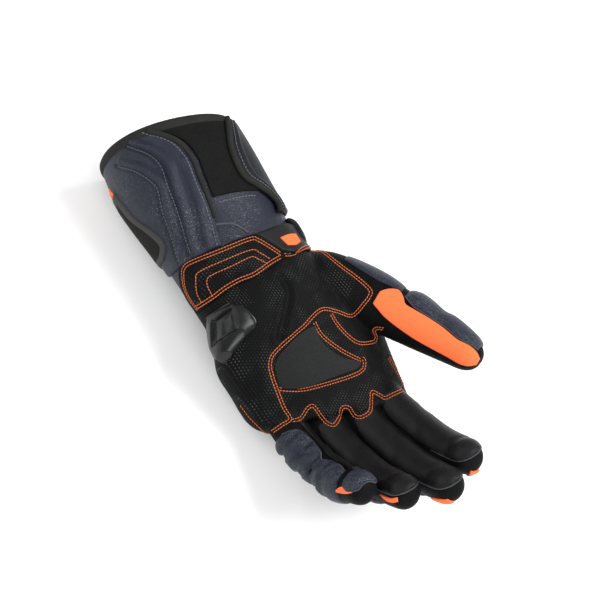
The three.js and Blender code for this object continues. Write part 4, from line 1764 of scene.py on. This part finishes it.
# Lines over the cuff, as turns and reaches.
CUFF_FOLD = ((71, -0.456), (70, -0.437), (76, -0.422), (85, -0.392), (89, -0.353), (91, -0.31))
LOOP_HEM = ((84, -0.525), (95, -0.51), (106, -0.495), (118, -0.475))
RIDGES = (
    ((43, -0.962), (58, -0.88), (63, -0.804), (60, -0.705), (55, -0.574), (47, -0.435), (43, -0.355)),
    ((23, -0.914), (39, -0.845), (48, -0.769), (50, -0.708), (42, -0.613), (36, -0.514), (25, -0.369)),
    ((75, -0.784), (74, -0.713), (71, -0.602), (67, -0.509), (62, -0.427), (58, -0.36)),
)
SurfaceLine = Sequence[tuple[float, float]]
# The pile's waves, in radians in a metre along X and Y, and along X, Y and Z.
PILE_TUFTS = (2100, 1800)
PILE_DRIFT = (700, -900, 400)


def left_edge(table: Sequence[Row], aside: float = 0.0) -> SurfaceLine:
    """The edge where a panel's rows start, moved aside by some degrees."""
    return [(row.turn + aside, row.reach) for row in table]


def right_edge(table: Sequence[Row], aside: float = 0.0) -> SurfaceLine:
    """The edge where a panel's rows end, moved aside by some degrees."""
    return [(row.turn_to + aside, row.reach_to) for row in table]


def edge_line(
    surface: BodyShape | DigitShape,
    corners: SurfaceLine,
    offset: float,
    step: float = 1.5 * MM,
) -> np.ndarray:
    """Lays a smooth line over a surface.

    Args:
        surface: The surface.
        corners: The line's corners, as turns and reaches.
        offset: How far outside the surface it lies.
        step: Distance between samples.

    Returns:
        The line's points.
    """
    turns_to_reach = np.array([0.01, 1.0])
    turn, reach = (smooth_line(np.array(corners) * turns_to_reach, 0.004) / turns_to_reach).T
    return resampled(surface.points(turn, reach, offset), step)


@dataclass
class Cuff:
    """The flared cuff's flaps, hook-and-loop panel, bindings and guard."""

    shape: GloveShape
    finishes: Finishes
    mouth_reach: float = -0.985
    band: float = 3.5 * MM
    binding: float = 2.1 * MM
    binding_lift: float = 0.8 * MM
    rib_height: float = 2.5 * MM
    rib_width: float = 4.3 * MM
    channel_turn: float = 7
    channel_depth: float = 1.3 * MM
    channel_width: float = 2.6 * MM
    hem_turn: float = 9
    hem_height: float = 0.9 * MM
    hem_width: float = 3.2 * MM
    relief_step: float = 3 * MM
    pile_depth: float = 0.06 * MM
    ulnar_roll: float = 2.3 * MM
    ulnar_taper: float = 0.5
    radial_roll: float = 2.0 * MM
    fold_roll: float = 0.8 * MM
    roll_sides: int = 12

    def channels(self) -> list[SurfaceLine]:
        """The sewn channels beside the two outer ribs."""
        return [[(turn - self.channel_turn, reach) for turn, reach in ridge] for ridge in RIDGES[:2]]

    def ribs(self, _u: np.ndarray, _v: np.ndarray, points: np.ndarray) -> np.ndarray:
        """The ulnar flap's padded ribs and the sewn channels beside them.

        Args:
            points: The flap's points.

        Returns:
            What the ribs and channels add to its height.
        """
        body, low = self.shape.body, 0.3 * MM
        height = np.zeros(len(points))
        for ridge in RIDGES:
            line = edge_line(body, ridge, low, self.relief_step)
            height += self.rib_height * bell(distance_to(points, line), self.rib_width)
        for channel in self.channels():
            line = edge_line(body, channel, low, self.relief_step)
            height -= self.channel_depth * bell(distance_to(points, line), self.channel_width)
        return height

    def hem(self, _u: np.ndarray, _v: np.ndarray, points: np.ndarray) -> np.ndarray:
        """The raised hem along the radial flap's edge."""
        line = edge_line(self.shape.body, left_edge(RADIAL_FLAP, self.hem_turn), 2.4 * MM, self.relief_step)
        return self.hem_height * bell(distance_to(points, line), self.hem_width)

    def pile(self, _u: np.ndarray, _v: np.ndarray, points: np.ndarray) -> np.ndarray:
        """The unevenness of the loop pile."""
        tufts = np.sin(points[:, 0] * PILE_TUFTS[0]) * np.sin(points[:, 1] * PILE_TUFTS[1])
        return (tufts + np.sin(points @ PILE_DRIFT)) * self.pile_depth

    def flaps(self) -> list[bpy.types.Object]:
        """Makes the two closure flaps and the panel between them.

        Returns:
            The pieces.
        """
        body, finishes = self.shape.body, self.finishes
        ulnar = Panel(body, ULNAR_FLAP, low=0.7 * MM, across=90, along=90, relief=self.ribs)
        loop = Panel(body, LOOP_PANEL, low=0.7 * MM, thick=1.1 * MM, across=60, along=60, relief=self.pile)
        radial = Panel(body, RADIAL_FLAP, low=2.4 * MM, sink=-0.9 * MM, across=60, along=70, relief=self.hem)
        return [
            make_piece("ulnar_closure", ulnar.mesh(), finishes.navy, ["ulnar_flap"]),
            make_piece("loop_pile_panel", loop.mesh(), finishes.loop, ["loop_panel"]),
            # The radial flap wears the navy leather darkened with painted shade.
            make_piece("radial_closure", radial.mesh(), finishes.shaded, ["radial_flap"]),
        ]

    def mouth_ring(self) -> Mesh:
        """Rolls the flattened binding round the mouth.

        Returns:
            The binding.
        """
        body, stations, sides = self.shape.body, 180, 16
        turn = np.arange(stations)[:, None] * 360 / stations
        around = np.radians(np.arange(sides) * 360 / sides)
        reach = self.mouth_reach + self.band * np.cos(around) / body.cuff_length
        rim = body.points(turn, reach, self.binding_lift + self.binding * np.sin(around))
        rim[:, :, 2] = np.maximum(rim[:, :, 2], 0.0)
        return ring_mesh(rim, True)

    def bindings(self) -> list[bpy.types.Object]:
        """Makes the rolled bindings of the mouth and the flaps, and the fold beside them.

        Returns:
            The pieces.
        """
        body, grey = self.shape.body, self.finishes.binding
        line = edge_line(body, right_edge(ULNAR_FLAP[:7], 0.6), 1.9 * MM)
        radii = self.ulnar_roll * np.linspace(1.0, self.ulnar_taper, len(line))
        ulnar = tube(line, radii, self.roll_sides)
        line = edge_line(body, left_edge(RADIAL_FLAP, -0.8), 3.3 * MM)
        radial = tube(line, self.radial_roll, self.roll_sides)
        fold = tube(edge_line(body, CUFF_FOLD, 0.4 * MM), self.fold_roll)
        return [
            make_piece("mouth_roll", self.mouth_ring(), grey, ["mouth_binding"]),
            make_piece("ulnar_roll", ulnar, grey, ["ulnar_flap_binding"]),
            make_piece("radial_roll", radial, grey, ["radial_flap_binding"]),
            make_piece("cuff_fold", fold, self.finishes.piping),
        ]

    def guard(self) -> list[bpy.types.Object]:
        """Makes the moulded guard with its inset, and the coloured flash beside it.

        Returns:
            The pieces.
        """
        body, finishes = self.shape.body, self.finishes
        rim = Panel(body, CUFF_GUARD, low=1.6 * MM, thick=1.7 * MM, edge=2.2 * MM, sink=-0.6 * MM, soft=0.2)
        inset = Panel(body, GUARD_INSET, low=3.0 * MM, thick=0.5 * MM, edge=1.2 * MM, sink=-2.0 * MM)
        flash = Panel(body, CUFF_FLASH, low=1.9 * MM, thick=0.9 * MM, edge=1.2 * MM, sink=-0.6 * MM)
        return [
            make_piece("guard_shell", rim.mesh(), finishes.guard, ["cuff_guard"]),
            make_piece("guard_core", inset.mesh(), finishes.inset, ["guard_inset"]),
            make_piece("cuff_flash", flash.mesh(), finishes.orange),
        ]

    def pressed(self, tree: BVHTree, corners: SurfaceLine) -> Trace:
        """Presses a line over the cuff down on its pieces.

        Args:
            tree: The pieces' surfaces.
            corners: The line's corners, as turns and reaches.

        Returns:
            The line on the pieces.
        """
        body, above, step = self.shape.body, 9 * MM, 0.8 * MM
        high = resampled(edge_line(body, corners, above, step), step)
        low = resampled(edge_line(body, corners, 0.0, step), step)
        places, normals = [], []
        for start, end in zip(high, low):
            place, normal, _, _ = tree.ray_cast(Vector(start), Vector(end - start))
            if place is not None:
                places.append(place)
                normals.append(facing(normal, Vector(start - end)))
        return Trace(np.array(places), np.array(normals))

    def stitches(self, tree: BVHTree) -> bpy.types.Object:
        """Makes the tonal stitching beside the ribs, along the flaps and under the loop panel.

        Args:
            tree: The surfaces that carry it.

        Returns:
            The piece.
        """
        stitching = Stitching(pitch=2.5 * MM, length=1.7 * MM, radius=0.38 * MM)
        lines = [*self.channels(), right_edge(ULNAR_FLAP, -4), left_edge(RADIAL_FLAP, 5), LOOP_HEM]
        made = [stitch for line in lines for stitch in stitching.row(self.pressed(tree, line))]
        return make_piece("tonal_stitching", joined(made), self.finishes.dark_thread)

    def build(self) -> list[bpy.types.Object]:
        """Makes the cuff's pieces apart from its stitches."""
        return [*self.flaps(), *self.bindings(), *self.guard()]


@dataclass
class Wrist:
    """The stitched patch across the wrist, and the strap with its tab and pad."""

    shape: GloveShape
    finishes: Finishes

    def build(self) -> list[bpy.types.Object]:
        """Makes the wrist's pieces.

        Returns:
            The pieces.
        """
        body, finishes = self.shape.body, self.finishes
        patch = Panel(body, WRIST_PATCH, low=0.5 * MM, across=30, along=60)
        strap = Panel(body, WRIST_STRAP, low=0.7 * MM, thick=1.9 * MM, across=24, along=80)
        tab = Panel(body, STRAP_TAB, low=2.7 * MM, thick=1.0 * MM, sink=-2.2 * MM, edge=1.0 * MM)
        pad = Panel(body, WRIST_PAD, low=2.5 * MM, thick=2.2 * MM, sink=0.5 * MM, edge=3.2 * MM, soft=0.15)
        chevron = make_piece("wrist_chevron", patch.mesh(), finishes.palm, ["wrist_patch"])
        emboss = chevron.data.attributes.new("emboss", "FLOAT", "POINT")
        emboss.data.foreach_set("value", np.ones(len(chevron.data.vertices)))
        return [
            chevron,
            make_piece("strap_band", strap.mesh(), finishes.black, ["wrist_strap"]),
            make_piece("strap_pull", tab.mesh(), finishes.orange, ["strap_tab"]),
            # The pad wears the navy leather darkened with painted shade.
            padded(make_piece("wrist_pad", pad.mesh(), finishes.shaded)),
        ]


class Bevel(NamedTuple):
    """A flat face of the slider: its height at the first corner, and its climbs across and along."""

    start: float
    across: float
    along: float


BEVELS = (
    Bevel(0.0, 6.0, 0.0),
    Bevel(5.0, -5.0, 0.0),
    Bevel(0.1, 0.0, 5.0),
    Bevel(4.05, 0.0, -4.0),
    Bevel(0.1, 1.6, 1.1),
    Bevel(2.8, -1.5, -1.3),
    Bevel(1.3, 0.0, 0.0),
)


@dataclass
class Palm:
    """The palm's smooth patch, its slider and its stitching."""

    shape: GloveShape
    finishes: Finishes
    bevel_height: float = 4.2 * MM
    bevel_level: float = 0.6
    recess: float = 3.2 * MM
    recess_middle: tuple[float, float] = (0.56, 0.28)
    recess_half: tuple[float, float] = (0.3, 0.2)
    recess_slant: float = 0.25
    recess_steep: float = 1.5
    recess_rim: float = 0.4
    sharp_angle: float = 22

    def facets(self, u: np.ndarray, v: np.ndarray, _points: np.ndarray) -> np.ndarray:
        """The slider's bevels and the recess in its upper half.

        Args:
            u: Shares of the way across.
            v: Shares of the way along.

        Returns:
            What they add to the slider's height.
        """
        slopes = np.stack([bevel.start + bevel.across * u + bevel.along * v for bevel in BEVELS])
        height = (slopes.min(0) - self.bevel_level) * self.bevel_height
        a = (u - self.recess_middle[0]) / self.recess_half[0]
        b = (v - self.recess_middle[1]) / self.recess_half[1]
        away = np.maximum(np.abs(a + b * self.recess_slant), np.abs(b))
        hollow = np.clip((1 - away) * self.recess_steep, 0, self.recess_rim) / self.recess_rim
        return height - self.recess * hollow

    def build(self) -> list[bpy.types.Object]:
        """Makes the patch and the slider.

        Returns:
            The pieces.
        """
        body, finishes = self.shape.body, self.finishes
        patch = Panel(body, PALM_PATCH, low=0.2 * MM, thick=0.7 * MM, across=40, along=40)
        slider = Panel(
            body, PALM_SLIDER, low=0.4 * MM, thick=3.2 * MM, edge=1.0 * MM, soft=0.3,
            across=70, along=80, relief=self.facets,
        ).mesh()
        return [
            make_piece("palm_centre", patch.mesh(), finishes.smooth, ["palm_patch"]),
            make_piece(
                "heel_slider", slider, finishes.slider, ["palm_slider"], self.sharp_angle
            ),
        ]

    def stitches(self, studio: Studio, tree: BVHTree) -> bpy.types.Object:
        """Makes the orange stitching of the palm and wrist.

        Args:
            studio: The camera that the seams are laid out from.
            tree: The surfaces that carry them.

        Returns:
            The piece.
        """
        stitching = Stitching()
        made: list[Mesh] = []
        for line in DOUBLE_SEAMS.values():
            made += stitching.double(studio.cast(tree, line), tree)
        for line in SINGLE_SEAMS.values():
            made += stitching.row(studio.cast(tree, line))
        return make_piece("orange_stitching", joined(made), self.finishes.thread)


@dataclass
class Thumb:
    """The thumb's coloured panel and its padded back."""

    shape: GloveShape
    finishes: Finishes
    channel_at: float = 0.12
    channel_width: float = 0.07
    channel_depth: float = 0.5 * MM

    def channel(self, u: np.ndarray, _v: np.ndarray, _points: np.ndarray) -> np.ndarray:
        """The channel sewn along the pad's edge."""
        return -self.channel_depth * bell(np.abs(u - self.channel_at), self.channel_width)

    def build(self) -> list[bpy.types.Object]:
        """Makes the thumb's panels.

        Returns:
            The pieces.
        """
        digit, navy, edge = self.shape.digits[THUMB.name], self.finishes.navy, 3.4 * MM
        panel = Panel(digit, THUMB_PANEL, low=0.2 * MM, thick=1.0 * MM, edge=0.9 * MM, across=36, along=80)
        back = Panel(
            digit, THUMB_PAD, low=0.2 * MM, thick=3.2 * MM, edge=edge, soft=0.12, relief=self.channel
        ).mesh()
        knuckle = Panel(digit, THUMB_ROOT_PAD, low=0.2 * MM, thick=1.8 * MM, edge=edge, soft=0.1).mesh()
        piping = tube(edge_line(digit, left_edge(THUMB_PAD, -0.5), 0.9 * MM), 0.5 * MM, 8)
        return [
            make_piece("thumb_orange", panel.mesh(), self.finishes.orange, ["thumb_panel"]),
            padded(make_piece("thumb_back", back, navy, ["thumb_pad"])),
            padded(make_piece("thumb_knuckle", knuckle, navy, ["thumb_root_pad"])),
            make_piece("thumb_piping", piping, self.finishes.piping),
        ]


class Channel(NamedTuple):
    """A channel across a panel, with lengths as shares of the panel's.

    It lies at a place along the panel where it meets the pivot across it, and slants from there.
    """

    at: float
    slant: float
    pivot: float
    width: float
    depth: float


QUILT_ROLLS = tuple(Channel(at, 0.08, 0.5, 0.06, 1.9 * MM) for at in (0.2, 0.38, 0.56, 0.8))
QUILT_SLANTS = tuple(Channel(at, -0.5, 0.6, 0.04, 0.8 * MM) for at in (0.3, 0.5, 0.72))
SLACK_FOLDS = (Channel(0.3, 0.1, 0.5, 0.05, 0.55 * MM), Channel(0.56, -0.08, 0.5, 0.05, 0.55 * MM))


def sewn(channels: Sequence[Channel], u: np.ndarray, v: np.ndarray) -> np.ndarray:
    """Presses channels into a panel.

    Args:
        channels: The channels.
        u: Shares of the way across.
        v: Shares of the way along.

    Returns:
        What they take from the panel's height, as numbers below 0.
    """
    away = (np.abs(v + (u - channel.pivot) * channel.slant - channel.at) for channel in channels)
    return -sum(channel.depth * bell(far, channel.width) for channel, far in zip(channels, away))


@dataclass
class Fingers:
    """The padded panels on the fingers, with the slips and seams of their tips."""

    shape: GloveShape
    finishes: Finishes
    lane_at: float = 0.9
    lane_width: float = 0.035
    lane_depth: float = 0.5 * MM
    slack_height: float = 0.25 * MM
    slack_waves: tuple[float, float] = (2, 21)
    piping_sides: int = 8

    def quilting(self, u: np.ndarray, v: np.ndarray, _points: np.ndarray) -> np.ndarray:
        """The little finger's quilted rolls, with a lane sewn along their edge."""
        lane = self.lane_depth * bell(np.abs(u - self.lane_at), self.lane_width)
        return sewn([*QUILT_ROLLS, *QUILT_SLANTS], u, v) - lane

    def creases(self, u: np.ndarray, v: np.ndarray, _points: np.ndarray) -> np.ndarray:
        """The slack folds where the fingers bend."""
        across, along = self.slack_waves
        return sewn(SLACK_FOLDS, u, v) + self.slack_height * np.sin(v * along + u * across)

    def pads(self) -> list[bpy.types.Object]:
        """Makes the pads on the backs of the fingers and round the little finger.

        Returns:
            The pieces.
        """
        navy, little = self.finishes.navy, self.shape.digits["little"]
        made = []
        for name in ("index", "middle", "ring"):
            digit = self.shape.digits[name]
            pad = Panel(digit, FINGER_PAD, low=0.2 * MM, thick=3.8 * MM, edge=4 * MM, soft=0.1)
            made.append(padded(make_piece(f"{name}_back", pad.mesh(), navy, [f"{name}_pad"])))
        quilt = Panel(
            little, LITTLE_PAD, low=0.2 * MM, thick=3.0 * MM, edge=2.6 * MM, soft=0.15,
            across=60, along=80, relief=self.quilting,
        ).mesh()
        piping = tube(edge_line(little, right_edge(LITTLE_PAD, 0.5), 0.8 * MM), 0.45 * MM, self.piping_sides)
        made.append(padded(make_piece("little_quilting", quilt, navy, ["little_pad"])))
        made.append(make_piece("little_piping", piping, self.finishes.piping))
        return made

    def palms(self) -> list[bpy.types.Object]:
        """Makes the smooth leather along the fingers' palm sides.

        Returns:
            The pieces.
        """
        made = []
        for name in TIP_SLIPS:
            digit = self.shape.digits[name]
            table = LITTLE_PALM if name == "little" else FINGER_PALM
            panel = Panel(
                digit, table, low=0.1 * MM, thick=1.0 * MM, edge=1.5 * MM, sink=0.6 * MM,
                across=40, along=80, relief=self.creases,
            ).mesh()
            made.append(make_piece(f"{name}_palm", panel, self.finishes.black))
        return made

    def tips(self) -> list[bpy.types.Object]:
        """Makes the coloured slips, the little finger's cap and the piping round the tips.

        Returns:
            The pieces.
        """
        orange, made = self.finishes.orange, []
        seams: list[Mesh] = []
        for name, table in TIP_SLIPS.items():
            digit = self.shape.digits[name]
            slip = Panel(
                digit, table, low=0.1 * MM, thick=0.9 * MM, edge=0.7 * MM, sink=0.6 * MM, across=16
            ).mesh()
            made.append(make_piece(f"{name}_slip", slip, orange, [f"{name}_tip_slip"]))
            if name == "little":
                border = left_edge(TIP_CAP) + right_edge(TIP_CAP[::-1])
                cap = Panel(
                    digit, TIP_CAP, low=0.2 * MM, thick=0.9 * MM, edge=1.2 * MM, sink=0.6 * MM, across=40
                ).mesh()
                made.append(make_piece("little_tip_cap", cap, self.finishes.navy))
            else:
                border = right_edge(FINGER_PALM[4:]) + left_edge(FINGER_PALM[:3:-1])
            seams.append(tube(edge_line(digit, border, 0.5 * MM), 0.4 * MM, self.piping_sides))
        made.append(make_piece("tip_piping", joined(seams), self.finishes.piping))
        return made

    def build(self) -> list[bpy.types.Object]:
        """Makes the fingers' panels."""
        return [*self.pads(), *self.palms(), *self.tips()]


def main() -> None:
    """Builds the glove's looks round the frame."""
    logging.basicConfig(level=logging.INFO, format="%(message)s")
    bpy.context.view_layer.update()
    shape = GloveShape()
    studio = Studio()
    studio.aim(shape.body.origin)
    studio.camera()
    studio.stage()
    finishes = Finishes()
    leather = LeatherSkin(shape, studio, finishes).build()
    cuff, palm = Cuff(shape, finishes), Palm(shape, finishes)
    parts = [cuff, Wrist(shape, finishes), palm, Thumb(shape, finishes), Fingers(shape, finishes)]
    made = leather + [piece for part in parts for piece in part.build()]
    tree = carrier(made)
    made += [cuff.stitches(tree), palm.stitches(studio, tree)]
    for piece in made:
        LOG.info("%s: %d faces", piece.name, len(piece.data.polygons))


if __name__ == "__main__":
    main()
